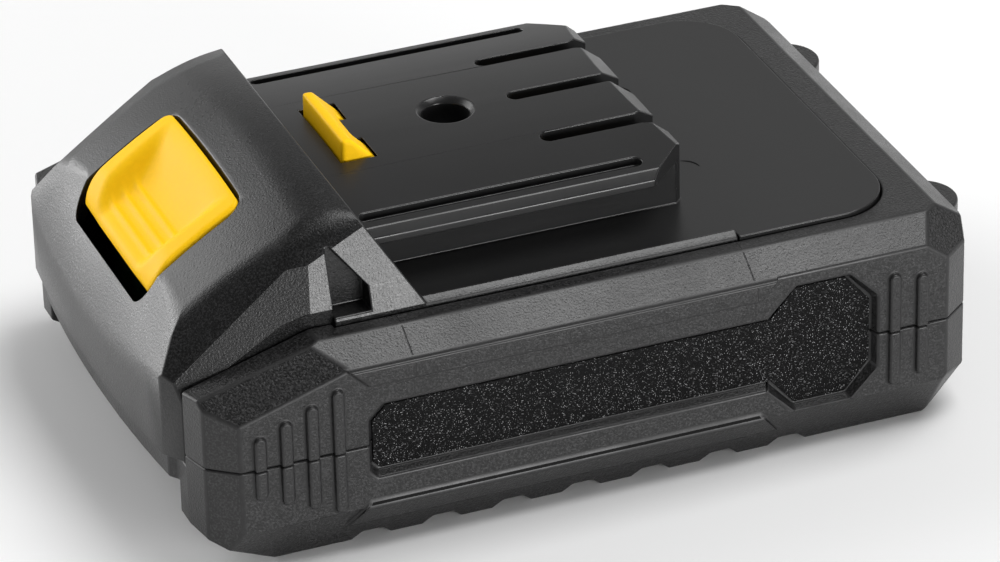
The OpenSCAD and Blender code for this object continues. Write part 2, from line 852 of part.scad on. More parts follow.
module front_hood()
    color("#303034")
    difference() {
        union() {
            difference() {
                hood_form(0, nose_z + fit);
                hood_form(hood_t, nose_z);
                // The hood's sides end over the cell holders
                box([-holder_l / 2 - hood_clear, -hood_w, 0], [far_out, hood_w, hood_foot]);
            }
            intersection() {
                hood_form(0, hood_foot);
                notch(hood_t);
            }
            // Shelf for the springs, with a pin in each
            box([shelf_x, -hood_in - eps, hood_foot], [shelf_x + shelf_l, hood_in + eps, shelf_top]);
            both_sides() post(spring_x, spring_y, shelf_top - eps, shelf_top + spring_pin_h, spring_pin_r);
            // Screw bosses behind the nose
            intersection() {
                hood_form(0, nose_z + fit);
                both_sides()
                    post(nose_screw_x, nose_screw_y, nose_z + fit,
                        nose_seat + screw_l + boss_over, hood_boss_r);
            }
            // Strips along the deck's edges, bevelled outwards
            both_sides()
                prism_x([
                    [hood_w / 2 - strip_w, deck_z + fit], [hood_w / 2, deck_z + fit],
                    [hood_w / 2, floor_z + strip_up - strip_bevel_h],
                    [hood_w / 2 - strip_bevel_w, floor_z + strip_up],
                    [hood_w / 2 - strip_w, floor_z + strip_up]
                ], notch_x - hood_t, strip_end);
        }
        notch(0);
        hood_gap();
        hood_opening();
        hood_opening_cross();
        rail_form(0.3);
        box([deck_front - fit, -hood_w / 2 + strip_w, 0], [far_out, hood_w / 2 - strip_w, floor_z + fit]);
        box([deck_front - fit, -hood_w, 0], [far_out, hood_w, deck_z + fit]);
        both_sides() post(nose_screw_x, nose_screw_y, nose_z, nose_seat + screw_l + pilot_over, pilot_r);
    }

// Release latch: scooped button, sliding plate and hook in one moulding
scoop_rim = 1.9;
scoop_in = 3.6;
scoop_h = 12;
scoop_back = 4.6;
scoop_back_h = 9;
button_wall = 2;
button_brow = 9.2;
ridge_count = 3;
ridge_r = 0.55;
ridge_pitch = 1.9;
ridge_first = 1.4;
scoop_ridge_l = button_w - 2 * (scoop_rim + scoop_in);

module button_form()
    intersection() {
        hood_crown(button_proud);
        prism_y([
            [button_front, button_foot], [button_front, crease_z + button_brow],
            [button_front + button_brow, crease_z + button_brow * (1 + front_slope)],
            [button_rear, hood_z], [button_rear, button_foot]
        ], -button_w / 2, button_w / 2);
        button_plan(opening_r - latch_clear);
    }

// Upright prism with the button's plan and round corners
module button_plan(r) {
    box([button_front + r, -button_w / 2, 0], [button_rear - r, button_w / 2, far_out]);
    box([button_front, -button_w / 2 + r, 0], [button_rear, button_w / 2 - r, far_out]);
    for (x = [button_front + r, button_rear - r])
        both_sides() post(x, button_w / 2 - r, 0, far_out, r);
}

// The thumb scoop: a level floor at the front, with walls that open upwards
module scoop() {
    x0 = button_front + scoop_rim;
    x1 = button_rear - scoop_rim;
    y1 = button_w / 2 - scoop_rim;
    y0 = y1 - scoop_in;
    difference() {
        box([x0, -y1, scoop_z], [x1, y1, far_out]);
        both_sides()
            prism_x([
                [y0, scoop_z - eps], [y0 + 2 * scoop_in, scoop_z + scoop_h],
                [y0 + 4 * scoop_in, scoop_z + scoop_h], [y0 + 4 * scoop_in, scoop_z - eps]
            ], x0 - eps, x1 + eps);
        prism_y([
            [x1 - scoop_back, scoop_z - eps], [x1 + scoop_rim / 2, scoop_z + scoop_back_h],
            [x1 + 2 * scoop_rim, scoop_z + scoop_back_h], [x1 + 2 * scoop_rim, scoop_z - eps]
        ], -button_w, button_w);
    }
}

module release_latch()
    color("#ffd21f")
    difference() {
        union() {
            difference() {
                button_form();
                scoop();
                box(
                    [button_front + button_wall, -button_w / 2 + button_wall, 0],
                    [button_rear - button_wall, button_w / 2 - button_wall, scoop_z - button_wall]
                );
            }
            // Finger ridges on the scoop's floor
            for (i = [0:ridge_count - 1])
                translate([button_front + scoop_rim + ridge_first + i * ridge_pitch, 0, scoop_z])
                    rotate([90, 0, 0])
                        cylinder(r = ridge_r, h = scoop_ridge_l, center = true, $fn = 24);
            box([button_rear - button_wall / 2, -latch_plate_w / 2, latch_plate_z],
                [hook_x + hook_l + latch_clear, latch_plate_w / 2, latch_plate_z + plate_t]);
            prism_y([
                [hook_x, latch_plate_z], [hook_x, hook_top], [hook_x + hook_flat, hook_top],
                [hook_x + hook_l, hook_top - hook_l + hook_flat], [hook_x + hook_l, latch_plate_z]
            ], -hook_w / 2, hook_w / 2);
            both_sides()
                post(spring_x, spring_y, latch_plate_z - spring_pin_h, latch_plate_z + eps, spring_pin_r);
        }
        box([hook_notch_x, -hook_notch_w / 2, latch_plate_z + plate_t],
            [hook_x + 2 * hook_l, hook_notch_w / 2, far_out]);
    }

// Latch springs: one helix tube each
coil_rings = 12;
coil_sides = 6;
module latch_spring(side) {
    rings = spring_turns * coil_rings;
    rise = spring_l - wire_d;
    points = [
        for (i = [0:rings], j = [0:coil_sides - 1])
            let (a = 360 * i / coil_rings, b = 360 * j / coil_sides, r = coil_d / 2 + wire_d / 2 * cos(b))
            [r * cos(a), r * sin(a), wire_d / 2 + rise * i / rings + wire_d / 2 * sin(b)]
    ];
    walls = [
        for (i = [0:rings - 1], j = [0:coil_sides - 1])
            let (k = (j + 1) % coil_sides, n = i * coil_sides)
            each [[n + j, n + coil_sides + j, n + k], [n + k, n + coil_sides + j, n + coil_sides + k]]
    ];
    ends = [
        [for (j = [0:coil_sides - 1]) j],
        [for (j = [coil_sides - 1:-1:0]) rings * coil_sides + j]
    ];
    color("#c8ccd0")
        translate([spring_x, side * spring_y, shelf_top + fit])
            polyhedron(points, concat(walls, ends));
}

// Cells and their holders

function cell_x(i) = (i - (cells + 1) / 2) * cell_pitch;

module cell(i) {
    up = i % 2 == 1 ? 1 : -1;
    color("#3a7d5c")
        translate([cell_x(i), 0, cell_z])
            rotate([-90 * up, 0, 0])
                translate([0, 0, -cell_l / 2]) {
                    cylinder(d = cell_d, h = cell_l - cell_nub_h, $fn = 64);
                    cylinder(d = cell_nub_d, h = cell_l);
                }
}

module cell_holder(side)
    color("#1d2a3a")
    mirror([0, side < 0 ? 1 : 0, 0])
        difference() {
            union() {
                prism_y([
                    [-holder_l / 2, holder_top], [-holder_l / 2, floor_t + holder_cut],
                    [-holder_l / 2 + holder_cut, floor_t], [holder_l / 2 - holder_cut, floor_t],
                    [holder_l / 2, floor_t + holder_cut], [holder_l / 2, holder_top]
                ], holder_in, holder_in + holder_t);
                for (x = [-post_x, post_x])
                    box([x - post_r, post_y - post_r, holder_top - 0.2],
                        [x + post_r, post_y + post_r, board_z]);
            }
            for (i = [1:cells])
                translate([cell_x(i), holder_in - 1, cell_z])
                    rotate([-90, 0, 0]) cylinder(d = cell_d + 2 * cell_clear, h = holder_t + 2, $fn = 64);
            for (x = [-post_x, post_x])
                post(x, post_y, holder_top, board_z + 1, 0.8);
        }

// Nickel strip over cells a to b, with a lead up to the board where it ends the chain
lead_w = 4.4;
lead_end = board_l / 2 - 1.4;
riser_w = 1;
module nickel_strip(a, b, side, lead)
    color("#b8bcc2")
    mirror([0, side < 0 ? 1 : 0, 0]) {
        y = cell_l / 2;
        z = holder_top + fit;
        box([cell_x(a) - strip_over, y, cell_z - strip_z / 2],
            [cell_x(b) + strip_over, y + strip_t, cell_z + strip_z / 2]);
        if (lead)
            mirror([cell_x(a) < 0 ? 1 : 0, 0, 0]) {
                x = abs(cell_x(a)) + lead_w / 2;
                box([x - lead_w, y, cell_z], [x, y + strip_t, z + strip_t]);
                box([x - lead_w, y - lead_w, z], [x, y + eps, z + strip_t]);
                box([lead_end, post_y + riser_w, z], [x, y - riser_w, z + strip_t]);
                box([lead_end, post_y, z], [lead_end + riser_w, post_y + 2 * riser_w, board_z]);
            }
    }

module insulator(side)
    color("#c9b98f")
    mirror([0, side < 0 ? 1 : 0, 0])
        box([-row_l / 2, cell_l / 2 + strip_t + 0.1, floor_t + 1],
            [row_l / 2, cell_l / 2 + strip_t + 0.1 + sheet_t, holder_top - 0.6]);

// Circuit board and what it carries

module board_holes(r)
    both_sides()
        for (x = [-post_x, post_x])
            post(x, post_y, board_z - 1, board_top + 1, r);

module circuit_board()
    color("#1f6b3a")
    difference() {
        box([-board_l / 2, -board_w / 2, board_z], [board_l / 2, board_w / 2, board_top]);
        board_holes(0.95);
    }

// Small parts on the front of the board: a row of chips, a controller and a capacitor
chip = [1.5, 3, 0.8];
chip_pitch = 4.6;
controller = [5, 5, 1];
capacitor_r = 2;
capacitor_h = 3;
part_x = -board_l / 2 + 2.5;
part_y = 9;
module board_components()
    color("#202024") {
        for (i = [0:3])
            translate([part_x, -part_y + i * chip_pitch, board_top]) cube(chip);
        translate([part_x, part_y, board_top]) cube(controller);
        post(part_x + 2 * capacitor_r, -part_y - 2 * capacitor_r,
            board_top, board_top + capacitor_h, capacitor_r);
    }

module board_screws()
    color("#9aa0a6")
    both_sides()
        for (x = [-post_x, post_x]) {
            post(x, post_y, board_z - post_h + 0.2, board_top + eps, 0.75);
            post(x, post_y, board_top, board_top + 0.8, 1.6);
        }

module terminal_block()
    color("#18181b")
    difference() {
        box([block_x, -block_w / 2, board_top], [block_x + block_l, block_w / 2, block_z]);
        post(deck_screw_x, 0, board_top, block_z + 1, pilot_r);
    }

// Spring clip under one terminal slot
module terminal(i)
    color("#c79a3c")
    translate([clip_x, i * slot_pitch, block_z]) {
        box([0, -clip_w / 2, 0], [clip_l, clip_w / 2, clip_t]);
        both_sides() box([0, slot_w / 2 - clip_t, clip_t - eps], [clip_l, slot_w / 2, clip_h]);
    }

// Temperature sensor in the valley between two cells
module thermistor() {
    x = (cell_x(2) + cell_x(3)) / 2;
    z = cell_z + sqrt(pow(cell_d / 2 + bead_r + 0.05, 2) - pow(cell_pitch / 2, 2));
    color("#8a5a2b") {
        translate([x, 3, z]) rotate([90, 0, 0]) cylinder(r = bead_r, h = 6, $fn = 24);
        both_sides() post(x, 1.5, z, board_z, 0.35, $fn = 16);
    }
}

// Label in its recess

label_gap = 0.3;
module label(side)
    color("#0c0c0d")
    mirror([0, side < 0 ? 1 : 0, 0]) {
        y = side_y - recess_d;
        prism_y(band_points(recess_draft + label_gap), y, y + label_t);
        prism_y(lobe_points(recess_draft + label_gap), y, y + label_t);
    }

// Screws

module screw(x, y, seat, l) {
    post(x, y, seat - head_h, seat, head_r);
    post(x, y, seat - eps, seat + l, screw_r);
}

module case_screws()
    color("#9aa0a6")
    both_sides() {
        screw(tower_x, tower_y, tower_seat, screw_l);
        screw(nose_screw_x, nose_screw_y, nose_seat, screw_l);
    }

module deck_screw()
    color("#9aa0a6") {
        post(deck_screw_x, 0, deck_seat_z, deck_seat_z + head_h, head_r);
        post(deck_screw_x, 0, board_top + pilot_over, deck_seat_z + eps, screw_r);
    }

lower_case();
upper_case();
front_hood();
slide_deck();
release_latch();
latch_spring(-1);  // latch_spring_near
latch_spring(1);  // latch_spring_far
for (i = [1:cells])
    cell(i);
cell_holder(-1);  // cell_holder_near
cell_holder(1);  // cell_holder_far
nickel_strip(1, 1, -1, true);  // strip_near_1
nickel_strip(2, 3, -1, false);  // strip_near_2_3
nickel_strip(4, 5, -1, false);  // strip_near_4_5
nickel_strip(1, 2, 1, false);  // strip_far_1_2
nickel_strip(3, 4, 1, false);  // strip_far_3_4
nickel_strip(5, 5, 1, true);  // strip_far_5
insulator(-1);  // insulator_near
insulator(1);  // insulator_far
circuit_board();
board_components();
board_screws();
terminal_block();
terminal(-1);  // negative_terminal
terminal(0);  // sense_terminal
terminal(1);  // positive_terminal
thermistor();
label(-1);  // label_near
label(1);  // label_far
case_screws();
deck_screw();
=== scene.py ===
"""Looks of a slide-on power tool battery pack: moulded case, hood and rail deck, release latch, labels,
springs, screws, the cells inside, and a plain studio."""
import json
import math

import bmesh
import bpy
from mathutils import Matrix, Vector


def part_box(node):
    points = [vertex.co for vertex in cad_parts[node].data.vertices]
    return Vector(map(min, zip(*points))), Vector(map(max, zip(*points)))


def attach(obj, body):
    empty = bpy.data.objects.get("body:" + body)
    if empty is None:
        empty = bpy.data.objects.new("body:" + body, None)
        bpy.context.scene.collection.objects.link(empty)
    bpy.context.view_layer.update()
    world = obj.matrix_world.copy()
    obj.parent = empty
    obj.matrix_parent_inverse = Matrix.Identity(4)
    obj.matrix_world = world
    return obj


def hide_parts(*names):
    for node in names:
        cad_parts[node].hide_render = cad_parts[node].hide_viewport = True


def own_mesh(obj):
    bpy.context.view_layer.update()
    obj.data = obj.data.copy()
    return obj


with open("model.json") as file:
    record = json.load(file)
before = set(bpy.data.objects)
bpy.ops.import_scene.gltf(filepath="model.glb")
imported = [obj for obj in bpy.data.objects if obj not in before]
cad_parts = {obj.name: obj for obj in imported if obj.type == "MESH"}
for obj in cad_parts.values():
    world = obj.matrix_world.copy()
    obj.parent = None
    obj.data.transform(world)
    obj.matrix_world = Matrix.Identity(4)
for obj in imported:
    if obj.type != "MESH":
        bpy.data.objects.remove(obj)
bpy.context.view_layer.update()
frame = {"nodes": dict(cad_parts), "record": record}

bl_info = {
    "name": "Slide Battery Pack Looks",
    "version": (1, 0, 0),
    "blender": (4, 5, 0),
    "location": "View3D > Sidebar > Battery Pack",
    "description": "Finishes, springs, screws and studio of a slide-on battery pack",
    "category": "Object",
}

MM = 0.001
NODES = frame["nodes"]
FINISH = {entry["slot"]: entry for entry in frame["record"]["materials"]}

# Material places on a dressed mesh, after the body's own at 0
# Rim: worn smoother and painted lighter as an edge highlight
RIM_HIGHLIGHT_SLOT = 1
# Step: painted darker as the shade in the lower case's step
STEP_SHADE_SLOT = 2

# Mould marks, glitter and gloss
SEAM_WIDTH = 0.00013
SEAM_GROOVE = 0.00004
SEAM_TINT = 0.8
STREAK_SHARE = 0.6
RIM_GRAIN = 0.0005
RIM_DEPTH = 0.000012
GLITTER_RARITY = 8.0
# Light grey painted on the label's shining grains as their glints
PAINTED_GLINT_COLOUR = (0.58, 0.58, 0.59, 1.0)

# Mesh limits
WELD_GAP = 1e-6
FLAT_ANGLE = math.radians(0.7)
NORMAL_WEIGHT = 80
SLIGHT_ROUND = 0.00008
CHAMFER_TILT = (-0.6, -0.3)
# Upward lean of the lower case's step faces, which are painted darker as shade
STEP_SHADE_TILT = (0.4, 0.5)
SIDE_FACING = 0.85

# Shares of the head's height and radius, from a screw's seat up to its drive
HEAD_PROFILE = ((0.0, 0.97), (0.08, 1.0), (0.55, 1.0), (0.78, 0.95), (0.93, 0.82), (1.0, 0.64))
# Distance from an ejector mark's line, and height over the deck
MARK_PROFILE = (
    (0.00018, -0.00003), (0.00012, 0.00004), (0.0, 0.00007), (-0.00012, 0.00004), (-0.00018, -0.00003),
)
MARK_STEPS = 40

# Thumb button: cells of its grid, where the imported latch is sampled, and the walls below the rim
BUTTON_CELLS = (66, 114)
SIDE_INSET = 0.0012
REAR_INSET = 0.0006
CROWN_INSET = 0.003
CROWN_FIRST = 0.0017
CROWN_LAST = 0.0008
CROWN_STEP = 0.001
WALL_LEAN = 0.0012
WALL_STEPS = (0.15, 1.0)
SLIDE_MARGIN = 0.00005
SLIDE_PASSES = 6

# Studio
SENSOR_WIDTH = 36.0
CLIP_START = 0.01
FLOOR_HALF = 6.0
FLOOR_DROP = 0.00002
LIGHT_AIM = (0.0, 0.0, 0.02)
LIGHTS = (
    ("top_light", (0.36, -0.06, 0.95), (0.6, 0.6), "top_power"),
    ("front_light", (0.36, -0.96, 0.15), (0.5, 0.28), "front_power"),
    ("rear_light", (-0.62, 0.72, 0.46), (0.7, 0.75), "rear_power"),
    ("nose_light", (-0.57, 0.82, 0.09), (0.6, 0.17), "nose_power"),
)
# Grey of the sky at each height of its direction
FRONT_SKY = ((0.0, 1.1), (0.16, 0.55), (0.34, 0.12), (1.0, 0.12))
REAR_SKY = ((0.0, 1.0), (0.3, 0.55), (0.58, 0.46), (0.76, 0.24), (1.0, 0.2))
SKY_LEAN = -0.25
SKY_BLEND = (-0.3, 0.45)


def slot_colour(slot):
    return tuple(FINISH[slot]["base_color"][:3])


def length(name, description, default_mm, low_mm=0.0, high_mm=1000.0):
    return bpy.props.FloatProperty(
        name=name, description=description, default=default_mm * MM, min=low_mm * MM, max=high_mm * MM,
        precision=5, subtype="DISTANCE", unit="LENGTH",
    )


def factor(name, description, default, low=0.0, high=1.0):
    return bpy.props.FloatProperty(name=name, description=description, default=default, min=low, max=high)


def colour(name, description, default):
    return bpy.props.FloatVectorProperty(
        name=name, description=description, default=default, size=3, min=0.0, max=1.0, subtype="COLOR",
    )


class PackFinishSettings(bpy.types.PropertyGroup):
    """Colours and surface sizes of the moulded pieces"""
    case_colour: colour("Case", "Black of the case halves", (0.0075, 0.0074, 0.0076))
    hood_colour: colour("Hood", "Black of the front hood", (0.0036, 0.0036, 0.0037))
    deck_colour: colour("Deck", "Black of the slide deck", (0.0110, 0.0110, 0.0112))
    button_colour: colour("Button", "Yellow of the release latch", (1.0, 0.58, 0.008))
    label_colour: colour("Label", "Black of the bare labels", (0.0030, 0.0030, 0.0032))
    case_grain: length("Case grain", "Size of the eroded texture on the case", 0.24, 0.05, 2.0)
    hood_grain: length("Hood grain", "Size of the eroded texture on the hood", 0.22, 0.05, 2.0)
    deck_grain: length("Deck grain", "Size of the faint texture on the deck", 0.16, 0.05, 2.0)
    label_grain: length("Label grain", "Size of one glitter grain on the label", 0.15, 0.05, 2.0)
    edge_round: length("Edge rounding", "Width of the rounded edges of the case", 0.34, 0.05, 1.0)
    hood_round: length("Hood rounding", "Width of the rounded edges of the hood", 0.20, 0.05, 1.0)
    fine_round: length("Fine rounding", "Width of the rounded edges of the deck", 0.18, 0.05, 1.0)
    slide_grid: length("Slide rounding", "Grid on which the slide's edges are smoothed", 0.28, 0.1, 0.6)
    seam_front: length("Front seam", "Place of the front mould seam along the frame", -26.0, -60.0, 60.0)
    seam_rear: length("Rear seam", "Place of the rear mould seam along the frame", 22.0, -60.0, 60.0)


class PackButtonSettings(bpy.types.PropertyGroup):
    """Sizes of the thumb button and its scoop"""
    along: length("Length", "Length of the button along the pack", 13.0, 10.0, 13.4)
    corner: length("Corner", "Radius of the button's corners, seen from above", 1.6, 0.5, 4.0)
    edge: length("Edge", "Radius of the button's outer edge", 0.7, 0.2, 1.5)
    front_height: length("Front height", "Height of the front edge over the button's foot", 3.3, 2.0, 5.0)
    front_slope: factor("Front slope", "Rise of the steep front over its run", 1.7, 1.0, 3.0)
    floor_slope: factor("Floor slope", "Rise of the scoop's floor over its run", 0.54, 0.0, 1.0)
    floor_half: length("Floor half width", "Half the width of the scoop's floor", 8.2, 4.0, 11.0)
    wall_slope: factor("Wall slope", "Rise of the scoop's side walls over their run", 1.17, 0.5, 3.0)
    rear_foot: length("Rear wall foot", "Rear wall's foot, from the front edge", 7.2, 4.0, 10.0)
    rear_slope: factor("Rear slope", "Rise of the scoop's rear wall over its run", 1.36, 0.6, 3.0)
    rim_soft: length("Rim softness", "Width over which the rim bends into the scoop", 1.3, 0.2, 3.0)
    foot_soft: length("Foot softness", "Width over which the floor bends into the walls", 1.5, 0.2, 3.0)
    ridge_first: length("First ridge", "First floor ridge, from the front edge", 2.25, 1.0, 5.0)
    ridge_pitch: length("Ridge pitch", "Distance from ridge to ridge", 1.77, 1.0, 3.0)
    ridge_count: bpy.props.IntProperty(
        name="Ridges", description="Number of ridges on the scoop's floor", default=3, min=0, max=5,
    )
    ridge_height: length("Ridge height", "Height of a ridge over the floor", 0.34, 0.0, 1.0)
    ridge_half: length("Ridge half width", "Half the width of a ridge at its foot", 0.62, 0.2, 1.5)
    shell: length("Shell", "Wall of the hollow button", 1.2, 0.8, 2.0)


class PackDetailSettings(bpy.types.PropertyGroup):
    """Sizes of the springs, screws and mould marks"""
    wire: length("Spring wire", "Wire diameter of the latch springs", 0.7, 0.3, 1.2)
    turns: factor("Spring turns", "Turns of each latch spring, with its closed ends", 6.0, 3.0, 10.0)
    head_height: length("Screw head height", "Height of a case screw's head", 2.0, 0.5, 4.0)
    board_head_height: length("Board screw head height", "Height of a board screw's head", 0.8, 0.3, 2.0)
    thread: length("Thread pitch", "Pitch of the screw threads", 1.1, 0.4, 2.0)
    mark_x: length("Mark place", "Place of the ejector marks behind the rail", 23.2, 0.0, 50.0)
    near_mark: length("Near mark", "Distance of the near ejector mark from the middle", 10.9, 0.0, 30.0)
    far_mark: length("Far mark", "Distance of the far ejector mark from the middle", 12.9, 0.0, 30.0)
    mark_radius: length("Mark radius", "Radius of an ejector mark", 2.6, 0.5, 5.0)
    # Only the arc of each mark where its painted shadow line shows is drawn
    mark_turn: bpy.props.FloatProperty(
        name="Mark turn", description="Part of the circle that an ejector mark covers",
        default=math.radians(72.0), min=0.1, max=2.0 * math.pi, subtype="ANGLE", unit="ROTATION",
    )


class PackStageSettings(bpy.types.PropertyGroup):
    """Camera, lights and floor"""
    azimuth: bpy.props.FloatProperty(
        name="Azimuth", description="Turn of the camera round the pack",
        default=math.radians(-21.0785), subtype="ANGLE", unit="ROTATION",
    )
    elevation: bpy.props.FloatProperty(
        name="Elevation", description="Height angle of the camera",
        default=math.radians(29.1786), subtype="ANGLE", unit="ROTATION",
    )
    roll: bpy.props.FloatProperty(
        name="Roll", description="Tilt of the camera about its view",
        default=math.radians(-1.3896), subtype="ANGLE", unit="ROTATION",
    )
    distance: length("Distance", "Distance of the camera from the pack's origin", 784.946, 100.0, 5000.0)
    aside: length("Aside", "Move of the camera to its right", 0.450, -100.0, 100.0)
    lift: length("Lift", "Move of the camera upwards in its view", 11.573, -100.0, 100.0)
    lens: factor("Lens", "Focal length for a 36 mm sensor", 205.477, 20.0, 400.0)
    floor_colour: colour("Floor", "Pale colour of the floor", (0.90, 0.90, 0.90))
    top_power: factor("Top light", "Power of the light overhead", 7.4, 0.0, 100.0)
    front_power: factor("Front light", "Power of the light at the front", 7.0, 0.0, 100.0)
    rear_power: factor("Rear light", "Power of the light behind the hood", 5.5, 0.0, 100.0)
    nose_power: factor("Nose light", "Power of the low light that grazes the nose", 2.0, 0.0, 100.0)


def settings(name):
    return getattr(bpy.context.scene, name)


# Shader node groups


def new_group(name, inputs, outputs):
    group = bpy.data.node_groups.new(name, "ShaderNodeTree")
    for label, kind, default in inputs:
        socket = group.interface.new_socket(name=label, in_out="INPUT", socket_type=kind)
        if default is not None:
            socket.default_value = default
    for label, kind in outputs:
        group.interface.new_socket(name=label, in_out="OUTPUT", socket_type=kind)
    return group, group.nodes.new("NodeGroupInput"), group.nodes.new("NodeGroupOutput")


def math_node(tree, operation, a, b=None, clamp=False):
    node = tree.nodes.new("ShaderNodeMath")
    node.operation = operation
    node.use_clamp = clamp
    for socket, value in zip(node.inputs, (a, b)):
        if value is None:
            continue
        if isinstance(value, (int, float)):
            socket.default_value = value
        else:
            tree.links.new(value, socket)
    return node.outputs[0]


def map_range(tree, value, from_low, from_high, to_low, to_high, smooth=False):
    node = tree.nodes.new("ShaderNodeMapRange")
    node.interpolation_type = "SMOOTHSTEP" if smooth else "LINEAR"
    for label, item in (
        ("Value", value), ("From Min", from_low), ("From Max", from_high),
        ("To Min", to_low), ("To Max", to_high),
    ):
        if isinstance(item, (int, float)):
            node.inputs[label].default_value = item
        else:
            tree.links.new(item, node.inputs[label])
    return node.outputs["Result"]


def scaled_vector(tree, vector, size):
    inverse = math_node(tree, "DIVIDE", 1.0, size)
    node = tree.nodes.new("ShaderNodeVectorMath")
    node.operation = "SCALE"
    tree.links.new(vector, node.inputs[0])
    tree.links.new(inverse, node.inputs["Scale"])
    return node.outputs[0]


def stretched(tree, vector, scales):
    node = tree.nodes.new("ShaderNodeVectorMath")
    node.operation = "MULTIPLY"
    node.inputs[1].default_value = scales
    tree.links.new(vector, node.inputs[0])
    return node.outputs[0]


def noise(tree, vector, scale, detail, rough):
    node = tree.nodes.new("ShaderNodeTexNoise")
    node.inputs["Scale"].default_value = scale
    node.inputs["Detail"].default_value = detail
    node.inputs["Roughness"].default_value = rough
    tree.links.new(vector, node.inputs["Vector"])
    return node.outputs[0]


def voronoi(tree, vector, scale, feature="F1"):
    node = tree.nodes.new("ShaderNodeTexVoronoi")
    node.feature = feature
    node.inputs["Scale"].default_value = scale
    tree.links.new(vector, node.inputs["Vector"])
    return node


def eroded_grain_group():
    """Pits and specks of a spark-eroded mould, at a given grain size"""
    group, source, sink = new_group(
        "Eroded grain",
        [("Vector", "NodeSocketVector", None), ("Size", "NodeSocketFloat", 0.0003)],
        [("Height", "NodeSocketFloat"), ("Speck", "NodeSocketFloat")],
    )
    vector = scaled_vector(group, source.outputs["Vector"], source.outputs["Size"])
    rough = noise(group, vector, 0.8, 3.0, 0.65)
    pits = voronoi(group, vector, 0.9, "SMOOTH_F1").outputs["Distance"]
    height = math_node(group, "ADD", rough, math_node(group, "MULTIPLY", pits, 0.55))
    speck = map_range(group, rough, 0.42, 0.68, 0.0, 1.0, smooth=True)
    group.links.new(height, sink.inputs["Height"])
    group.links.new(speck, sink.inputs["Speck"])
    return group


def handling_group():
    """Soft smears and fine streaks that handling leaves on plastic"""
    group, source, sink = new_group(
        "Handling",
        [("Vector", "NodeSocketVector", None)],
        [("Smear", "NodeSocketFloat"), ("Streak", "NodeSocketFloat")],
    )
    smear = noise(group, source.outputs["Vector"], 70.0, 3.0, 0.55)
    streak = noise(group, stretched(group, source.outputs["Vector"], (90.0, 2600.0, 2600.0)), 1.0, 2.0, 0.5)
    group.links.new(map_range(group, smear, 0.35, 0.68, 0.0, 1.0, smooth=True), sink.inputs["Smear"])
    group.links.new(map_range(group, streak, 0.56, 0.74, 0.0, 1.0), sink.inputs["Streak"])
    return group


def seam_group():
    """A thin line across the pack at a given place along it"""
    group, source, sink = new_group(
        "Mould seam",
        [
            ("Vector", "NodeSocketVector", None), ("Place", "NodeSocketFloat", 0.0),
            ("Width", "NodeSocketFloat", SEAM_WIDTH),
        ],
        [("Line", "NodeSocketFloat")],
    )
    parts = group.nodes.new("ShaderNodeSeparateXYZ")
    group.links.new(source.outputs["Vector"], parts.inputs[0])
    shifted = math_node(group, "SUBTRACT", parts.outputs["X"], source.outputs["Place"])
    away = math_node(group, "ABSOLUTE", shifted)
    line = map_range(group, away, 0.0, source.outputs["Width"], 1.0, 0.0, smooth=True)
    group.links.new(line, sink.inputs["Line"])
    return group


def glitter_group():
    """Grains of a glittering label film: their heights and a few that shine, as the mask of their painted
    glints
    """
    group, source, sink = new_group(
        "Label glitter",
        [("Vector", "NodeSocketVector", None), ("Size", "NodeSocketFloat", 0.00025)],
        [("Height", "NodeSocketFloat"), ("Shine", "NodeSocketFloat")],
    )
    vector = scaled_vector(group, source.outputs["Vector"], source.outputs["Size"])
    grains = voronoi(group, vector, 1.0)
    parts = group.nodes.new("ShaderNodeSeparateColor")
    group.links.new(grains.outputs["Color"], parts.inputs[0])
    near = map_range(group, grains.outputs["Distance"], 0.1, 0.55, 1.0, 0.0, smooth=True)
    chosen = math_node(group, "POWER", parts.outputs[0], GLITTER_RARITY)
    group.links.new(math_node(group, "MULTIPLY", near, chosen), sink.inputs["Shine"])
    fine = noise(group, vector, 1.6, 2.0, 0.6)
    group.links.new(math_node(group, "ADD", parts.outputs[1], fine), sink.inputs["Height"])
    return group


def brushed_group():
    """Fine lines of drawn or rolled metal along the pack"""
    group, source, sink = new_group(
        "Drawn metal",
        [("Vector", "NodeSocketVector", None)],
        [("Line", "NodeSocketFloat"), ("Tarnish", "NodeSocketFloat")],
    )
    along = stretched(group, source.outputs["Vector"], (300.0, 5000.0, 5000.0))
    group.links.new(noise(group, along, 1.0, 2.0, 0.6), sink.inputs["Line"])
    group.links.new(noise(group, source.outputs["Vector"], 220.0, 3.0, 0.6), sink.inputs["Tarnish"])
    return group


GROUP_BUILDERS = {
    "grain": eroded_grain_group, "handling": handling_group, "seam": seam_group,
    "glitter": glitter_group, "drawn": brushed_group,
}
GROUPS = {}


def place_group(tree, key, **values):
    if key not in GROUPS:
        GROUPS[key] = GROUP_BUILDERS[key]()
    node = tree.nodes.new("ShaderNodeGroup")
    node.node_tree = GROUPS[key]
    for label, value in values.items():
        if isinstance(value, (int, float)):
            node.inputs[label].default_value = value
        else:
            tree.links.new(value, node.inputs[label])
    return node.outputs


# Materials


def new_material(name):
    material = bpy.data.materials.new(name)
    material.use_nodes = True
    tree = material.node_tree
    coordinates = tree.nodes.new("ShaderNodeTexCoord")
    return material, tree, tree.nodes["Principled BSDF"], coordinates.outputs["Object"]


def tint(rgb, gain):
    return (min(1.0, rgb[0] * gain), min(1.0, rgb[1] * gain), min(1.0, rgb[2] * gain), 1.0)


